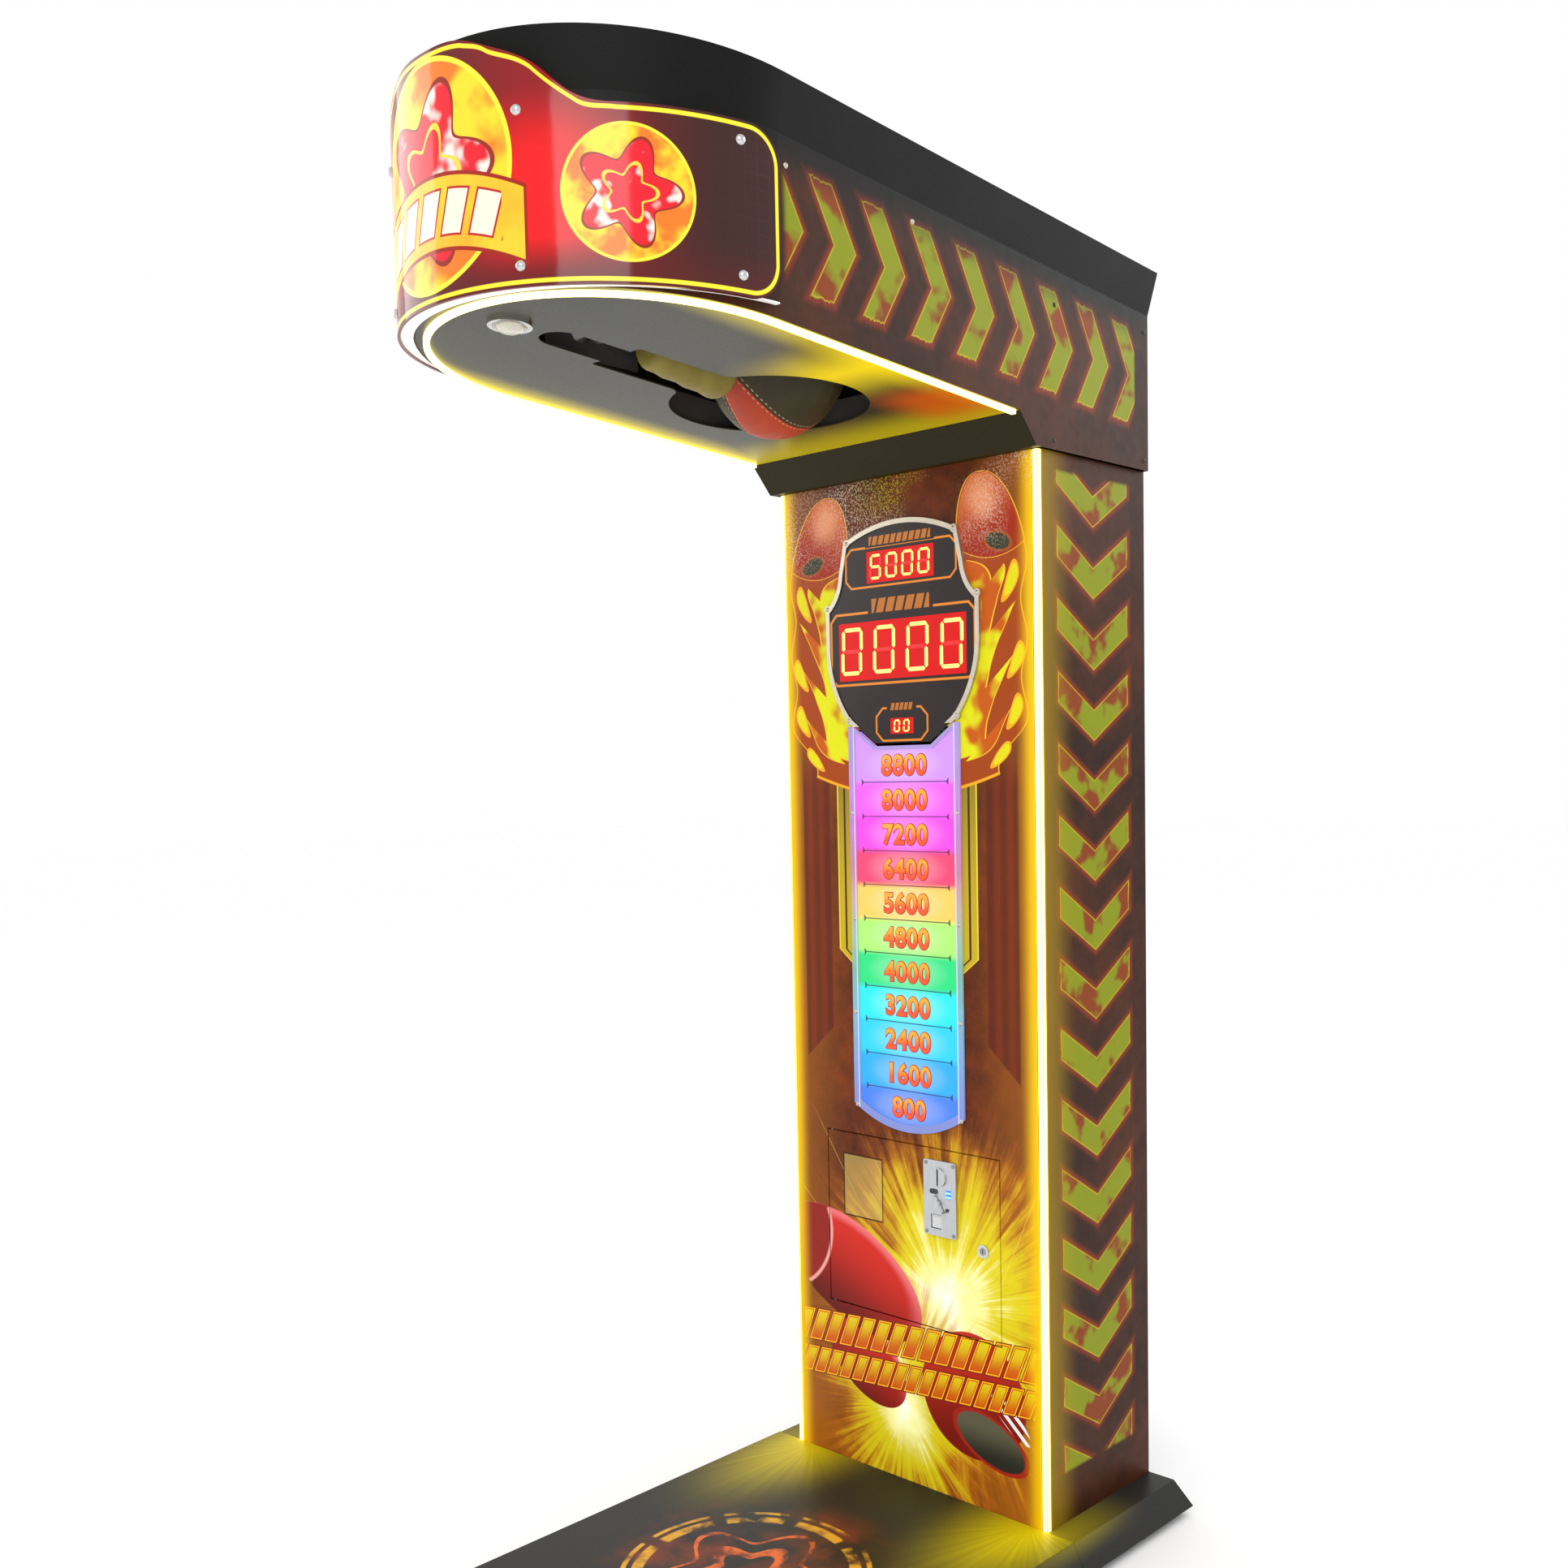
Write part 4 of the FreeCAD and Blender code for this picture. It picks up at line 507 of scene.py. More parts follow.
# left punch shape: a long one leaning to the middle, with its thumb below
for at_x, at_z, wide, tall, lean in ((-0.105, 0.255, 0.1, 0.062, -0.6), (-0.14, 0.405, 0.172, 0.088, -0.42)):
    shape = oval(x, z, at_x, at_z, wide, tall, lean)
    light = (z - at_z) * 5.0 + (x - at_x) * 2.4 + 0.5
    shape_colour = front.mix(light.rises(0.0, 0.9), (0.1, 0.005, 0.003), (0.5, 0.018, 0.01))
    shine = shape.rises(0.78, 0.98) * light.rises(0.3, 0.9) * 0.65
    shape_colour = front.mix(shine, shape_colour, (0.75, 0.2, 0.22))
    colour = front.mix(shape.under(1.0, 0.01), colour, shape_colour)
strap = oval(x, z, -0.285, 0.46, 0.1, 0.11, -0.42)
colour = front.layers(
    colour, (strap.under(1.0, 0.01) * shape.under(1.0, 0.01), (0.22, 0.012, 0.008)),
    (strap.near(1.0, 0.03, 0.02) * shape.under(0.97, 0.01), (0.7, 0.3, 0.26)))
# right punch shape with its open cuff
right = oval(x, z, 0.128, 0.248, 0.108, 0.105, -0.5)
light = (z - 0.25) * 5.0 + (x - 0.12) * -1.0 + 0.4
right_colour = front.mix(light.rises(0.0, 0.9), (0.16, 0.008, 0.004), (0.42, 0.02, 0.01))
colour = front.mix(right.under(1.0, 0.01), colour, right_colour)
cuff = oval(x, z, 0.163, 0.18, 0.072, 0.036, -0.35)
colour = front.mix(cuff.under(1.14, 0.02), colour, (0.3, 0.016, 0.008))
lining = front.mix(z.rises(0.15, 0.21), (0.02, 0.02, 0.014), (0.09, 0.085, 0.05))
colour = front.mix(cuff.under(1.0, 0.02), colour, lining)
bands = ((x * 0.66 + z * 0.75) * 420.0).math("SINE").over(0.2, 0.1)
bands = bands * oval(x, z, 0.205, 0.228, 0.05, 0.016, -0.72).under(1.0, 0.05)
colour = front.mix(bands, colour, (0.7, 0.7, 0.7))
# two rows of slanting bars where the name would be
for row_z, row_half, pitch_x in ((0.3075, 0.026, 0.036), (0.2435, 0.021, 0.03)):
    rise_z = z - x * 0.079 - row_z
    cell = ((x - rise_z * 0.42) / pitch_x + 0.5).math("FRACT")
    edge = (pitch_x * 0.33 - abs(cell - 0.5) * pitch_x).smaller(row_half - abs(rise_z))
    zone = abs(x).under(0.253, 0.001)
    upper = (rise_z + wobble * 0.03).rises(-0.02, 0.022)
    fill = front.mix(upper, (0.5, 0.09, 0.004), (0.6, 0.46, 0.006))
    rims = [(-0.0042, (0.16, 0.01, 0.003)), (-0.0022, (0.8, 0.4, 0.01)), (0.0, (0.45, 0.04, 0.003))]
    for inset, tint in [*rims, (0.0016, fill)]:
        colour = front.mix(edge.over(inset) * zone, colour, tint)
# the cover over the note reader's hole is paler and has a dark edge
plate = (abs(x + 0.1065) - 0.0435).larger(abs(z - 0.5585) - 0.0535)
colour = front.layers(
    colour, (plate.under(0.0) * 0.45, (0.5, 0.36, 0.1)), (plate.near(0.0006, 0.0011), (0.03, 0.01, 0.004)))
# light that the corner strips throw on the film
wash = abs(x).rises(0.222, 0.263)
colour = front.mix(wash * wash * 0.8, colour, (0.72, 0.42, 0.002))
# a sparkle at the top, where the film's grain catches the light under the head
grain = front.noise(spot, 330.0, 2.0)
patch = front.noise(spot, 7.0, 1.0).rises(0.4, 0.62) + x.under(-0.13, 0.1) * 0.5
sparkle = (grain.rises(0.5, 0.6) * z.rises(1.58, 1.7) * patch * 0.6).smaller(0.8)
middle_top = abs(x).under(0.09, 0.06) * z.rises(1.68, 1.72)
sparkle_colour = front.mix(middle_top, (0.62, 0.52, 0.46), (0.5, 0.46, 0.02))
# painted light: the whole film glows faintly in its own colours, and yellow where the strips' light is
# painted
front.shade(
    Base_Color=front.mix(sparkle, colour, sparkle_colour), Emission_Strength=0.3,
    Emission_Color=front.mix(wash * wash, colour, (1.0, 0.66, 0.0)),
    Roughness=front.noise(spot, 90.0, 3.0) * 0.16 + 0.28)
front.bump(grain, 0.16, 0.0008)
front.on("column_front_panel", "coin_door", "bill_cover_plate")

# ---- head -----------------------------------------------------------------------------------
# A steel wrap bent round a rounded nose, printed like the column's sides, under a flared black
# cover. The underside is one satin grey plate with a keyhole cut out for the arm and ball; the
# yellow and red that the strips and the lit column throw on its rear half are painted on and glow.
wrap_paint = Paint("printed_head_film", Specular_IOR_Level=0.12)
spot, x, y, z = wrap_paint.place()
head_slope, wrap_front = 0.071, -0.262
outside = abs(x).over(0.283, 0.0003)
shown = outside * y.over(wrap_front, 0.006) * y.under(0.548, 0.003)
up_slope = z + y * head_slope
wrap_colour = chevron_film(wrap_paint, spot, y + 5.0, up_slope - 1.9465, (0.1, 0.076, 0.044), shown)
inside = (1 - outside) * y.over(wrap_front, 0.002)
wrap_colour = wrap_paint.layers(
    wrap_colour, (up_slope.rises(1.995, 2.05), (0.004, 0.0035, 0.0035)), (inside, (0.01, 0.01, 0.009)))
# painted light: the wrap glows faintly in its own colours
wrap_paint.shade(
    Base_Color=wrap_colour, Emission_Strength=0.1, Emission_Color=wrap_colour)
film_sheen(wrap_paint, spot)
wrap_paint.on("head_side_wrap")

under_paint = Paint("satin_graphite_plate", Metallic=0.15, Specular_IOR_Level=0.22)
spot, x, y, z = under_paint.place()
grain = under_paint.noise(spot, 240.0, 2.0)
cloud = under_paint.noise(spot, 3.0, 3.0)
under_colour = under_paint.mix(cloud, (0.011, 0.011, 0.006), (0.022, 0.0215, 0.011))
# painted light: yellow from the strips along the sides and rear, a yellow and a red patch, and a glow in the
# plate's colours
reach = abs(x).rises(0.2, 0.272).larger(y.rises(0.1, 0.23))
under_colour = under_paint.mix(reach * 0.7, under_colour, (0.5, 0.4, 0.002))
painted_yellow_light = x.rises(0.02, 0.18) * y.near(-0.06, 0.05, 0.09)
under_colour = under_paint.mix(painted_yellow_light * 0.9, under_colour, (0.78, 0.62, 0.0))
painted_red_light = x.rises(0.1, 0.2) * y.rises(0.02, 0.11) * y.under(0.2, 0.05)
under_colour = under_paint.mix(painted_red_light * 0.75, under_colour, (0.5, 0.08, 0.001))
under_paint.shade(
    Base_Color=under_colour, Roughness=grain * 0.14 + 0.26,
    Emission_Color=under_colour, Emission_Strength=0.55)
under_paint.on("head_underside")

# ---- marquee --------------------------------------------------------------------------------
# Four millimetre acrylic, bent round the nose and back-printed, with light behind it: a yellow
# edge line, a large disc and banner in front and a smaller disc at each side.
marquee_half, marquee_nose, nose_y = 0.296, 0.324, -0.2715
marquee = Paint("back_lit_marquee", Roughness=0.1, Specular_IOR_Level=0.4)
spot, x, y, z = marquee.place()
sign_x = (x / marquee_half).math("ARCTAN2", (y - nose_y) / -marquee_nose) * 0.312
around = abs(sign_x)
crest = marquee.curve(abs(x) / 0.225, [
    (0.0, 1.0), (0.289, 0.957), (0.449, 0.804), (0.671, 0.522), (0.849, 0.098), (1.0, 0.0)])
inset_top = crest * 0.092 + 2.069 - z
inset_low = z - 1.859
inset_rear = nose_y - 0.010 - y
corner = 0.048
corner_a = (corner - inset_rear).larger(0.0)
corner_t = (corner - inset_top).larger(0.0)
corner_b = (corner - inset_low).larger(0.0)
edge_t = corner - (corner_a * corner_a + corner_t * corner_t).math("SQRT")
edge_b = corner - (corner_a * corner_a + corner_b * corner_b).math("SQRT")
inset = edge_t.smaller(edge_b)
haze = marquee.noise(spot, 7.0, 4.0)
glow_side = abs(around - 0.175).rises(0.15, 0.0) * z.rises(1.855, 1.93) * (1 - z.rises(2.0, 2.1) * 0.8)
glow_side = (glow_side * (haze * 0.5 + 0.75)).smaller(1.0)
hive = marquee.cells(marquee.join(sign_x, z, 0.0), 55.0, 0.0)
hive = hive.under(0.06, 0.02) * around.rises(0.36, 0.46)
marquee_colour = marquee.mix(around.rises(0.4, 0.28), (0.022, 0.003, 0.0), (0.11, 0.0, 0.002))
marquee_colour = marquee.layers(
    marquee_colour, (glow_side, (0.9, 0.0, 0.002)), (z.rises(1.93, 1.86) * 0.5, (0.1, 0.0, 0.0)),
    (hive * 0.25, (0.07, 0.008, 0.002)))


def disc_print(paint, colour, across, up, radius, seed):
    """Round badge: bright rim, molten yellow ground and a red and white star."""
    reach = (across * across + up * up).math("SQRT")
    turn = up.math("ARCTAN2", across)
    molten = paint.noise(paint.join(across, up, seed), 1.5 / radius, 3.0)
    ground = paint.mix(molten.rises(0.42, 0.6), (1.0, 0.72, 0.02), (1.0, 0.2, 0.01))
    star = reach / ((turn * 5.0 + math.pi / 2).math("SINE") * 0.26 + 1.0)
    blob = paint.noise(paint.join(across, up, seed + 3.0), 2.4 / radius, 2.0)
    star_colour = paint.mix(blob.rises(0.5, 0.6), (0.8, 0.004, 0.02), (1.0, 0.82, 0.74))
    ground = paint.layers(
        ground, (star.under(radius * 0.66, 0.0008), (0.28, 0.02, 0.002)),
        (star.under(radius * 0.62, 0.0008), star_colour),
        (star.near(radius * 0.34, radius * 0.022, 0.0008), (1.0, 0.7, 0.05)))
    rim = (1.0, 0.86, 0.04)
    return paint.layers(colour, (reach.under(radius), rim), (reach.under(radius * 0.955), ground))


marquee_colour = disc_print(marquee, marquee_colour, around - 0.281, z - 1.966, 0.081, 4.0)
marquee_colour = disc_print(marquee, marquee_colour, sign_x, z - 2.012, 0.14, 9.0)
banner_z = z - 1.966 + sign_x * sign_x * 1.4
banner = around.under(0.158) * abs(banner_z).under(0.047)
banner_in = around.under(0.154) * abs(banner_z).under(0.042)
bar_pitch = 0.05
cell = ((sign_x - banner_z * 0.3) / bar_pitch + 0.5).math("FRACT")
bar = (0.0165 - abs(cell - 0.5) * bar_pitch).smaller(0.026 - abs(banner_z))
bar_zone = around.under(0.124, 0.001)
banner_colour = marquee.mix(marquee.noise(spot, 18.0, 2.0), (1.0, 0.35, 0.01), (1.0, 0.78, 0.03))
banner_colour = marquee.layers(
    banner_colour, (bar.over(-0.003) * bar_zone, (0.5, 0.01, 0.01)),
    (bar.over(0.0) * bar_zone, (1.0, 0.9, 0.7)))
marquee_colour = marquee.layers(
    marquee_colour, (banner, (0.35, 0.01, 0.0)), (banner_in, banner_colour),
    (inset.near(0.0062, 0.0026), (1.0, 0.83, 0.03)))
marquee.shade(
    Base_Color=marquee.mix(0.85, marquee_colour, (0.01, 0.0, 0.0)),
    Emission_Color=marquee_colour, Emission_Strength=0.96)
marquee.on("marquee_panel")

tray_paint = Paint("white_light_tray", Roughness=0.4)
spot, x, y, z = tray_paint.place()
haze = tray_paint.noise(spot, 20.0, 3.0)
tray_colour = tray_paint.mix(haze, (0.74, 0.72, 0.66), (0.85, 0.84, 0.8))
tray_paint.shade(
    Base_Color=tray_colour, Emission_Color=tray_colour, Emission_Strength=0.35,
    Roughness=haze * 0.2 + 0.3)
tray_paint.on("marquee_tray", "ladder_light_box")

chrome_paint = cloudy("polished_chrome", 80.0, 3.0, (0.5, 0.5, 0.51), (0.66, 0.66, 0.67), (0.06, 0.16),
                      Metallic=1.0)
chrome_paint.on("marquee_screws", "spot_lamp_bezel", "door_lock_body", "coin_return_flap")

# the screws that show on the front are bright, and those in the black panels are blackened
screw_paint = Paint("blackened_screw", Metallic=0.8)
spot, x, y, z = screw_paint.place()
screw_paint.shade(
    Base_Color=screw_paint.mix(y.under(0.292, 0.001), (0.05, 0.045, 0.04), (0.5, 0.46, 0.38)),
    Roughness=screw_paint.noise(spot, 90.0, 3.0) * 0.2 + 0.3)
screw_paint.on("panel_screws")

# ---- spot lamp ------------------------------------------------------------------------------
# A small chrome downlight with a bulging clear lens, pushed into a hole ahead of the slot.
lens_paint = cloudy("clear_lens", 50.0, 3.0, (0.75, 0.73, 0.62), (0.95, 0.93, 0.85), (0.03, 0.11),
                    Transmission_Weight=0.7, IOR=1.45)
lens_paint.on("spot_lamp_lens")

# ---- score display --------------------------------------------------------------------------
# Cast aluminium bezel over a smoked acrylic window. Red filters in the window cover three
# groups of seven-segment digits, each in a thin printed outline.
bezel_paint = cloudy("brushed_bezel", 60.0, 3.0, (0.42, 0.37, 0.29), (0.62, 0.57, 0.48), (0.25, 0.45),
                     (60.0, 3.0, 0.2, 0.0003), Metallic=0.85)
bezel_paint.on("display_bezel")

window_paint = Paint("smoked_window", Roughness=0.25, Specular_IOR_Level=0.3)
spot, x, y, z = window_paint.place()
haze = window_paint.noise(spot, 14.0, 4.0)


def outline(x, z, half_x, low, high, chamfer):
    """Inset of a box with cut corners, positive inside."""
    mid, tall = (low + high) / 2, (high - low) / 2
    edge_x = half_x - abs(x)
    edge_z = tall - abs(z - mid)
    return edge_x.smaller(edge_z).smaller((edge_x + edge_z - chamfer) * math.sqrt(0.5))


lines = outline(x, z, 0.118, 1.585, 1.65, 0.012).near(0.0, 0.0017)
lines = lines.larger(outline(x, z, 0.154, 1.424, 1.543, 0.012).near(0.0, 0.002))
lines = lines.larger(outline(x, z, 0.055, 1.328, 1.382, 0.014).near(0.0, 0.0017))
# short dashes above each group, where a caption would be
captions = [(1.66, 0.0075, 0.066, 0.0132), (1.553, 0.012, 0.062, 0.0206), (1.384, 0.0062, 0.024, 0.0096)]
for at_z, half_z, half_x, size in captions:
    dash = ((x + (z - at_z) * -0.3) / size + 0.5).math("FRACT") - 0.5
    lines = lines * (1 - abs(x).under(half_x + 0.008) * abs(z - at_z).under(half_z + 0.003))
    edge = ((0.4 - abs(dash)) * size).smaller(half_z - abs(z - at_z))
    lines = lines.larger(edge.over(0.0003, 0.0004) * abs(x).under(half_x) * 0.62)
window_paint.shade(
    Base_Color=window_paint.mix(haze, (0.006, 0.004, 0.004), (0.022, 0.01, 0.008)),
    Emission_Color=window_paint.mix(lines, (0.0, 0.0, 0.0), (0.95, 0.28, 0.01)),
    Emission_Strength=0.9)
window_paint.on("display_window")

filter_paint = Paint("red_filter", Roughness=0.3, Specular_IOR_Level=0.2)
spot, x, y, z = filter_paint.place()
haze = filter_paint.noise(spot, 30.0, 3.0)
# painted light: the red filter glows evenly in its own colour
filter_colour_and_glow = filter_paint.mix(haze, (0.62, 0.0, 0.0), (0.8, 0.002, 0.0))
filter_paint.shade(
    Base_Color=filter_paint.mix(0.9, filter_colour_and_glow, (0.0, 0.0, 0.0)),
    Emission_Color=filter_colour_and_glow, Emission_Strength=1.0)
filter_paint.on("display_filters")

board_paint = Paint("circuit_board", Roughness=0.4)
spot, x, y, z = board_paint.place()
tracks = board_paint.noise(spot, 160.0, 2.0).rises(0.48, 0.54)
board_paint.shade(
    Base_Color=board_paint.mix(tracks, (0.01, 0.09, 0.03), (0.03, 0.2, 0.06)))
board_paint.on("score_board", "main_board")

lit_paint = Paint("lit_segment", Base_Color=(0.3, 0.2, 0.05), Roughness=0.3, Specular_IOR_Level=0.2)
spot, x, y, z = lit_paint.place()
lit_colour = lit_paint.mix(lit_paint.noise(spot, 120.0, 1.0), (1.0, 0.62, 0.1), (1.0, 0.86, 0.3))
lit_paint.shade(Emission_Color=lit_colour, Emission_Strength=1.25)
dim_paint = Paint("dark_segment", Roughness=0.3)
spot, x, y, z = dim_paint.place()
# painted light: the unlit bars glow a dull red
unlit_colour_and_glow = dim_paint.mix(dim_paint.noise(spot, 90.0, 2.0), (0.46, 0.0, 0.0), (0.58, 0.0, 0.0))
dim_paint.shade(
    Base_Color=unlit_colour_and_glow, Emission_Color=unlit_colour_and_glow, Emission_Strength=0.7)

digit_face, digit_deep = column_front - 0.0034, 0.0006
lit_bars = {"0": "abcdef", "5": "acdfg"}
# where each bar lies from the digit's middle, in half digits, and whether it stands upright
bar_places = {"a": (0.0, 1.0, 0), "b": (1.0, 0.5, 1), "c": (1.0, -0.5, 1), "d": (0.0, -1.0, 0),
              "e": (-1.0, -0.5, 1), "f": (-1.0, 0.5, 1), "g": (0.0, 0.0, 0)}


def segment(at_x, at_z, length, thick, upright):
    """One bar of a digit, pointed at both ends."""
    deselect()
    bpy.ops.mesh.primitive_cylinder_add(vertices=6, radius=0.5, depth=digit_deep,
                                        location=(at_x, digit_face - digit_deep / 2, at_z))
    piece = bpy.context.object
    piece.rotation_euler = (math.radians(90), 0, 0)
    bpy.ops.object.transform_apply(location=False, rotation=True, scale=False)
    bpy.ops.object.mode_set(mode="EDIT")
    shape = bmesh.from_edit_mesh(piece.data)
    for corner in shape.verts:
        # two of the six corners become the points, and the other four the bar's sides
        point = abs(corner.co.x) < 0.1
        across = 0.0 if point else math.copysign(thick / 2, corner.co.x)
        along = math.copysign(length / 2 if point else (length - thick) / 2, corner.co.z)
        corner.co.x, corner.co.z = (across, along) if upright else (along, across)
    bmesh.update_edit_mesh(piece.data)
    bpy.ops.object.mode_set(mode="OBJECT")
    return piece


def digit_group(text, width, height, pitch, mid_z, thick, name):
    """A row of leaning digits: their lit bars make one piece and their dark bars another."""
    slant = 0.06
    lit, dim = [], []
    start = -(len(text) - 1) * pitch / 2
    for place, character in enumerate(text):
        for key, (side_x, side_z, upright) in bar_places.items():
            length = (height / 2 if upright else width) - thick * 0.35
            rise = side_z * height / 2
            at_x = start + place * pitch + side_x * width / 2 + rise * slant
            bar = segment(at_x, mid_z + rise, length, thick, upright)
            (lit if key in lit_bars[character] else dim).append(bar)
    for bars, paint, suffix in ((lit, lit_paint, "_lit"), (dim, dim_paint, "_dark")):
        deselect()
        for bar in bars:
            bar.select_set(True)
        bpy.context.view_layer.objects.active = bars[0]
        bpy.ops.object.join()
        settle(bars[0], name + suffix, paint, "cabinet", 0)


digit_group("5000", 0.0205, 0.037, 0.0345, 1.617, 0.0044, "high_score_digits")
digit_group("0000", 0.040, 0.073, 0.0715, 1.480, 0.0066, "score_digits")
digit_group("00", 0.0105, 0.018, 0.0205, 1.352, 0.003, "time_digits")

# ---- strength ladder ------------------------------------------------------------------------
# Eleven printed steps on a white diffuser, each lit from its own chamber in its own colour,
# behind a clear screwed frame that picks up the light at its edges.
step_low, step_pitch = 0.711, 0.0577
ladder_colours = [(0.04, 0.2, 1.0), (0.0, 0.4, 1.0), (0.0, 0.62, 1.0), (0.0, 0.78, 0.8), (0.0, 0.72, 0.2),
                  (0.4, 0.9, 0.16), (1.0, 0.6, 0.1), (1.0, 0.04, 0.16), (0.95, 0.05, 0.75), (0.95, 0.1, 1.0),
                  (0.62, 0.28, 1.0)]


def ladder_light(paint, z, spread):
    """The steps' colours, each fading into the next over twice the spread."""
    colour = ladder_colours[0]
    for step, tint in enumerate(ladder_colours[1:]):
        edge = step_low + (step + 0.5) * step_pitch
        colour = paint.mix(z.rises(edge - spread, edge + spread), colour, tint)
    return colour


ladder_paint = Paint("lit_ladder_print", Roughness=0.25, Specular_IOR_Level=0.2)
spot, x, y, z = ladder_paint.place()
ladder_colour = ladder_light(ladder_paint, z, 0.007)
chamber = ((z - step_low) / step_pitch + 0.5).math("FRACT") - 0.5
hot = (x * x * 60.0 + chamber * chamber * 1.2).rises(0.55, 0.0)
ladder_colour = ladder_paint.mix(hot * 0.16 + 0.03, ladder_colour, (1.0, 1.0, 1.0))
# a dark rule between steps, with an arrowhead at each end
from_edge = abs(abs(chamber) - 0.5)
arrow = (from_edge * step_pitch * 0.9 - (abs(x) - 0.088)).under(0.0)
rule = from_edge.under(0.016, 0.006).larger(arrow) * abs(x).under(0.094) * z.under(1.31, 0.001)
ladder_colour = ladder_paint.mix(rule * 0.85, ladder_colour, (0.03, 0.03, 0.05))
ladder_paint.shade(
    Base_Color=ladder_paint.mix(0.85, ladder_colour, (0.0, 0.0, 0.0)),
    Emission_Color=ladder_colour, Emission_Strength=1.0)
ladder_paint.on("ladder_diffuser")

edge_paint = Paint("clear_screwed_frame", Roughness=0.12, Specular_IOR_Level=0.35)
spot, x, y, z = edge_paint.place()
edge_light = ladder_light(edge_paint, z, 0.04)
haze = edge_paint.noise(spot, 40.0, 3.0)
edge_colour = edge_paint.layers(
    edge_light, (haze * 0.4 + 0.35, (0.12, 0.13, 0.26)), (abs(x).near(0.1085, 0.0012) * 0.8, (0.8, 0.8, 1.0)))
edge_paint.shade(
    Base_Color=edge_paint.mix(0.6, edge_colour, (0.25, 0.25, 0.35)),
    Emission_Color=edge_colour, Emission_Strength=0.35)
edge_paint.on("ladder_frame")

number_paint = Paint("printed_numeral", Roughness=0.3)
spot, x, y, z = number_paint.place()
number_tone = ((z - step_low) / step_pitch + 0.5).math("FRACT")
warm = number_paint.mix(number_tone.rises(0.3, 0.7), (0.8, 0.06, 0.004), (1.0, 0.3, 0.01))
number_paint.shade(
    Base_Color=warm, Emission_Color=warm, Emission_Strength=0.35)
ink_paint = Paint("numeral_edge_ink", Roughness=0.35)
spot, x, y, z = ink_paint.place()
ink = ink_paint.mix(ink_paint.noise(spot, 150.0, 2.0), (0.2, 0.002, 0.012), (0.36, 0.006, 0.016))
ink_paint.shade(Base_Color=ink, Emission_Color=ink, Emission_Strength=0.25)
# each score is a warm number on a wider, flatter one of dark ink, both raised a little
prints = [("step_ink", ink_paint, 0.0006, 0.0022, 0.25), ("step_number", number_paint, 0.0009, 0.0006, 1.0)]
number_size, number_drop = 0.046, 0.0165
for step in range(len(ladder_colours)):
    at_z = step_low + step * step_pitch - number_drop
    for layer, paint, offset, bevel, flatten in prints:
        deselect()
        bpy.ops.object.text_add(location=(0, column_front - 0.0001, at_z))
        numeral = bpy.context.object
        numeral.data.body = str(800 * (step + 1))
        numeral.data.size = number_size
        numeral.data.align_x = "CENTER"
        numeral.data.extrude = 0.0002
        numeral.data.bevel_depth = bevel
        numeral.data.bevel_resolution = 1
        numeral.data.offset = offset
        numeral.data.space_character = 1.08
        numeral.rotation_euler = (math.radians(90), 0, 0)
        numeral.scale = (1, 1, flatten)
        bpy.ops.object.convert(target="MESH")
        settle(bpy.context.object, "%s_%02d" % (layer, step + 1), paint, "cabinet", 30)

# ---- coin acceptor --------------------------------------------------------------------------
# Cast and brushed face plate of a standard acceptor: slot boss, reject lever, return cup,
# four screws, a small lit counter window, a black sensor oval and a round test button.
coin_x, coin_z = 0.068, 0.569
coin_face = column_front - 0.006
plate_paint = Paint("brushed_face_plate", Metallic=0.9)
spot, x, y, z = plate_paint.place()
grain = plate_paint.noise(spot, 300.0, 2.0, 0.5, (1.0, 1.0, 0.1))
plate_paint.shade(
    Base_Color=plate_paint.mix(grain, (0.42, 0.43, 0.45), (0.62, 0.63, 0.65)),
    Roughness=grain * 0.2 + 0.26)
plate_paint.bump(grain, 0.15, 0.0002)
plate_paint.on("coin_faceplate", "reject_lever")

plastic_paint = cloudy("moulded_dark_plastic", 60.0, 3.0, (0.018, 0.018, 0.02), (0.04, 0.04, 0.042),
                       (0.3, 0.55))
plastic_paint.on("coin_mech_body", "coin_chute", "latch_solenoid", "optical_sensor", "mains_inlet")
plug_paint = cloudy("lock_plug_steel", 120.0, 3.0, (0.2, 0.2, 0.21), (0.42, 0.42, 0.43), (0.25, 0.45),
                    Metallic=0.9)
plug_paint.on("door_lock_plug")

head_radius, head_deep = 0.0032, 0.0012
for side_x in (-1, 1):
    for side_z in (-1, 1):
        at = (coin_x + side_x * 0.0285, coin_face - head_deep / 2, coin_z + side_z * 0.058)
        deselect()
        bpy.ops.mesh.primitive_cylinder_add(vertices=24, radius=head_radius, depth=head_deep, location=at)
        screw = bpy.context.object
        screw.rotation_euler = (math.radians(90), 0, 0)
        modifier = screw.modifiers.new("edge", "BEVEL")
        modifier.width = 0.0005
        modifier.segments = 2
        bpy.ops.object.modifier_apply(modifier="edge")
        name = "acceptor_screw_%d%d" % (side_x + 1, side_z + 1)
        settle(screw, name, plug_paint, "coin_door")

glow_paint = Paint("counter_window", Roughness=0.2)
spot, x, y, z = glow_paint.place()
cells = (z * 900.0).math("SINE").rises(-0.5, 0.4)
counter = glow_paint.mix(cells, (0.02, 0.12, 0.5), (0.2, 0.6, 1.0))
glow_paint.shade(
    Base_Color=counter, Emission_Color=counter, Emission_Strength=0.8)


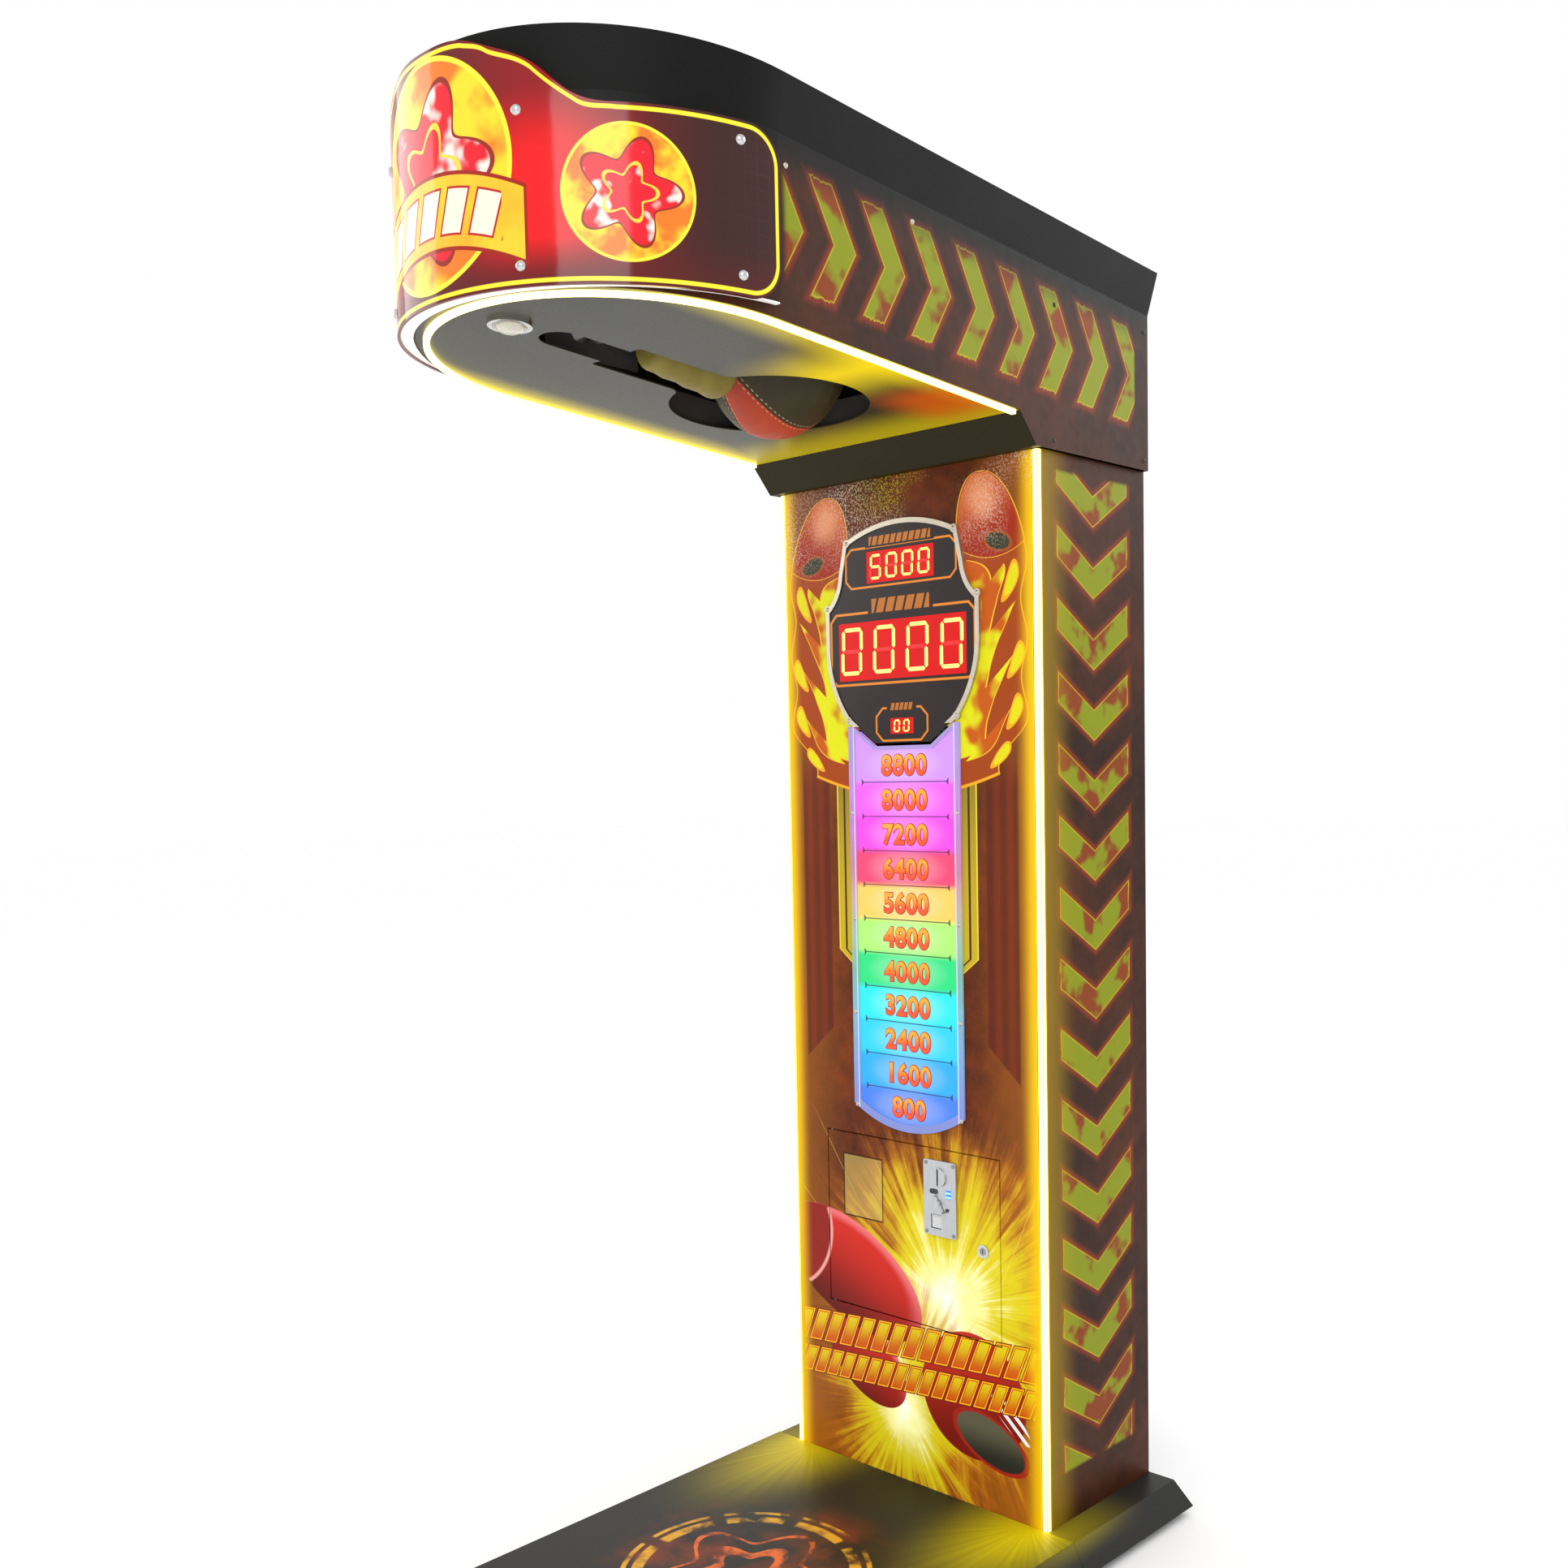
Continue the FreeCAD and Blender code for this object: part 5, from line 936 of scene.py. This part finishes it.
def plate_detail(name, from_x, from_z, wide, tall, deep, bevel, paint):
    """A small raised block on the face plate, its upright edges rounded."""
    deselect()
    bpy.ops.mesh.primitive_cube_add(size=1, location=(coin_x + from_x, coin_face - deep / 2, coin_z + from_z))
    block = bpy.context.object
    block.dimensions = (wide, deep, tall)
    bpy.ops.object.transform_apply(location=False, rotation=False, scale=True)
    bpy.ops.object.mode_set(mode="EDIT")
    shape = bmesh.from_edit_mesh(block.data)
    for edge in shape.edges:
        direction = edge.verts[0].co - edge.verts[1].co
        edge.select_set(abs(direction.y) > 0.5 * direction.length)
    bmesh.update_edit_mesh(block.data)
    bpy.ops.mesh.bevel(offset=bevel, segments=4)
    bpy.ops.object.mode_set(mode="OBJECT")
    settle(block, name, paint, "coin_door")


plate_detail("counter_window", 0.019, 0.010, 0.009, 0.016, 0.0008, 0.001, glow_paint)
plate_detail("sensor_oval", -0.012, 0.011, 0.017, 0.0085, 0.0008, 0.004, plastic_paint)
plate_detail("test_button", 0.016, -0.017, 0.006, 0.006, 0.0016, 0.0028, plastic_paint)

# ---- speaker --------------------------------------------------------------------------------
# A paper cone in a pressed basket behind the louvres, black all over.
paper_paint = Paint("speaker_paper", Roughness=0.85)
spot, x, y, z = paper_paint.place()
fibre = paper_paint.noise(spot, 300.0, 3.0)
paper_paint.shade(
    Base_Color=paper_paint.mix(fibre, (0.015, 0.015, 0.015), (0.04, 0.04, 0.04)))
paper_paint.bump(fibre, 0.3, 0.0004)
paper_paint.on("speaker")

# ---- sleeve and ball ------------------------------------------------------------------------
# The ball is a stuffed teardrop of eight leather gores, red and black by turns, with stitched
# seams. The arm's sleeve is olive leather wrapped round foam: it hangs a little under the arm
# and has a red welt along the player's side.
low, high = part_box("swing_arm")
axle_low, axle_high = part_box("pivot_axle")
pivot_y = (axle_low[1] + axle_high[1]) / 2
pivot_z = (axle_low[2] + axle_high[2]) / 2


def swell(piece, voxel, pressure, cap):
    """Inflates a closed skin a little, so that it sits as stuffed leather does."""
    deselect()
    piece.select_set(True)
    bpy.context.view_layer.objects.active = piece
    remesh = piece.modifiers.new("skin", "REMESH")
    remesh.mode = "VOXEL"
    remesh.voxel_size = voxel
    bpy.ops.object.modifier_apply(modifier="skin")
    before = [corner.co.copy() for corner in piece.data.vertices]
    cloth = piece.modifiers.new("cloth", "CLOTH")
    cloth.settings.use_pressure = True
    cloth.settings.uniform_pressure_force = pressure
    cloth.settings.effector_weights.gravity = 0.0
    scene = bpy.context.scene
    for frame_number in range(1, 21):
        scene.frame_set(frame_number)
    bpy.ops.object.modifier_apply(modifier="cloth")
    scene.frame_set(1)
    for corner, start in zip(piece.data.vertices, before):
        moved = corner.co - start
        if moved.length > cap:
            corner.co = start + moved.normalized() * cap


def spun(profile, turns):
    """Closed skin made by spinning an outline round the arm's axis."""
    deselect()
    bpy.ops.mesh.primitive_plane_add(size=0.01, location=(0, 0, 0))
    piece = bpy.context.object
    bpy.ops.object.mode_set(mode="EDIT")
    shape = bmesh.from_edit_mesh(piece.data)
    bmesh.ops.delete(shape, geom=shape.verts[:], context="VERTS")
    row = [shape.verts.new((0, pivot_y + along, pivot_z + out)) for along, out in profile]
    for first, second in zip(row, row[1:]):
        shape.edges.new((first, second))
    for corner in shape.verts:
        corner.select_set(True)
    for edge in shape.edges:
        edge.select_set(True)
    bmesh.update_edit_mesh(piece.data)
    bpy.ops.mesh.spin(steps=turns, angle=math.tau, center=(0, pivot_y, pivot_z), axis=(0, 1, 0))
    bpy.ops.mesh.select_all(action="SELECT")
    bpy.ops.mesh.remove_doubles(threshold=0.0007)
    bpy.ops.mesh.normals_make_consistent(inside=False)
    bpy.ops.object.mode_set(mode="OBJECT")
    return piece


ball_paint = Paint("ball_leather", Roughness=0.45, Specular_IOR_Level=0.25)
spot, x, y, z = ball_paint.place()
up_z = z - pivot_z
gores = 8
eighth = up_z.math("ARCTAN2", x) / math.tau * gores + 0.5 + gores
gore = (eighth / 2.0).math("FRACT").over(0.5, 0.001)
reach = (x * x + up_z * up_z).math("SQRT")
from_seam = (0.5 - abs(eighth.math("FRACT") - 0.5)) * reach * (math.tau / gores)
stitch = from_seam.near(0.0042, 0.0007, 0.0003) * (y * 900.0).math("SINE").over(0.0, 0.3)
grain = ball_paint.cells(spot, 420.0)
wear = ball_paint.noise(spot, 22.0, 5.0)
red = ball_paint.mix(wear, (0.3, 0.018, 0.006), (0.52, 0.06, 0.012))
black = ball_paint.mix(wear, (0.02, 0.016, 0.006), (0.05, 0.04, 0.012))
ball_colour = ball_paint.mix(gore, red, black)
ball_colour = ball_paint.layers(
    ball_colour, (from_seam.under(0.0009, 0.0004) * 0.85, (0.01, 0.005, 0.004)),
    (stitch * 0.9, (0.55, 0.4, 0.22)))
ball_paint.shade(Base_Color=ball_colour, Roughness=wear * 0.25 + 0.33)
ball_paint.bump(grain.rises(0.0, 0.12) * 0.3 + from_seam.rises(0.0, 0.0035) * 1.2 + wear * 0.4, 0.5, 0.0014)

# the outline from the arm's end to the tip: along the arm, then out from its axis
ball_profile = [(0.175, 0.0005), (0.176, 0.029), (0.202, 0.0295), (0.212, 0.041), (0.228, 0.060),
                (0.248, 0.080), (0.273, 0.1), (0.295, 0.111), (0.315, 0.1145), (0.34, 0.112),
                (0.369, 0.0975), (0.395, 0.076), (0.41, 0.053), (0.42, 0.025), (0.4225, 0.0005)]
ball = spun(ball_profile, 96)
swell(ball, 0.005, 2.0, 0.004)
settle(ball, "stitched_ball", ball_paint, "arm", 60)
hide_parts("punch_ball")

sleeve_paint = Paint("sleeve_leather", Roughness=0.5, Specular_IOR_Level=0.3)
spot, x, y, z = sleeve_paint.place()
up_z = z - pivot_z
turn_round = up_z.math("ARCTAN2", x)
wear = sleeve_paint.noise(spot, 18.0, 5.0)
grain = sleeve_paint.cells(spot, 480.0)
welt = abs(turn_round + 0.72)
stitches = welt.near(0.16, 0.02, 0.008) * (y * 700.0).math("SINE").over(0.0, 0.3)
sleeve_colour = sleeve_paint.mix(wear, (0.14, 0.1, 0.012), (0.3, 0.25, 0.05))
sleeve_colour = sleeve_paint.layers(
    sleeve_colour, (turn_round.rises(-0.75, -0.55) * 0.7, (0.1, 0.05, 0.004)),
    (welt.under(0.05, 0.012) * 0.9, (0.2, 0.03, 0.012)), (stitches * 0.8, (0.28, 0.16, 0.06)))
sleeve_paint.shade(Base_Color=sleeve_colour, Roughness=wear * 0.25 + 0.38)
sleeve_paint.bump(grain.rises(0.0, 0.12) * 0.3 + welt.rises(0.0, 0.12) + wear, 0.5, 0.0014)

sleeve_start, sleeve_end = 0.062, 0.205
skin, bore, neck_bore = 0.05, 0.014, 0.0312
sleeve_profile = [(0.0645, bore), (0.0645, skin * 0.8), (0.067, skin * 0.93)]
sleeve_profile += [(0.072 + 0.014 * ring, skin) for ring in range(10)]
sleeve_profile += [(0.2005, skin * 0.95), (0.2035, skin * 0.84), (0.2035, neck_bore), (0.1745, neck_bore),
                   (0.1735, bore)]
sleeve = spun(sleeve_profile + sleeve_profile[:1], 96)
for corner in sleeve.data.vertices:
    across, up = corner.co.x, corner.co.z - pivot_z
    out = math.hypot(across, up)
    if out < skin * 0.7:
        continue
    # the round skin becomes an oval that hangs below the arm, with soft creases underneath
    part = (corner.co.y - pivot_y - sleeve_start) / (sleeve_end - sleeve_start)
    half, rise, droop = 0.0325 + part * 0.013, 0.0285 + part * 0.004, 0.0545 + part * 0.022
    crease = 0.0014 * math.sin(part * 21.0 + across * 70.0) * max(0.0, -up / out)
    corner.co.x = across / skin * (half - crease)
    corner.co.z = pivot_z + (rise - droop) / 2 + up / skin * ((rise + droop) / 2 - crease)
sleeve.data.update()
swell(sleeve, 0.004, 2.0, 0.0025)
settle(sleeve, "leather_arm_sleeve", sleeve_paint, "arm", 60)
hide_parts("leather_sleeve")
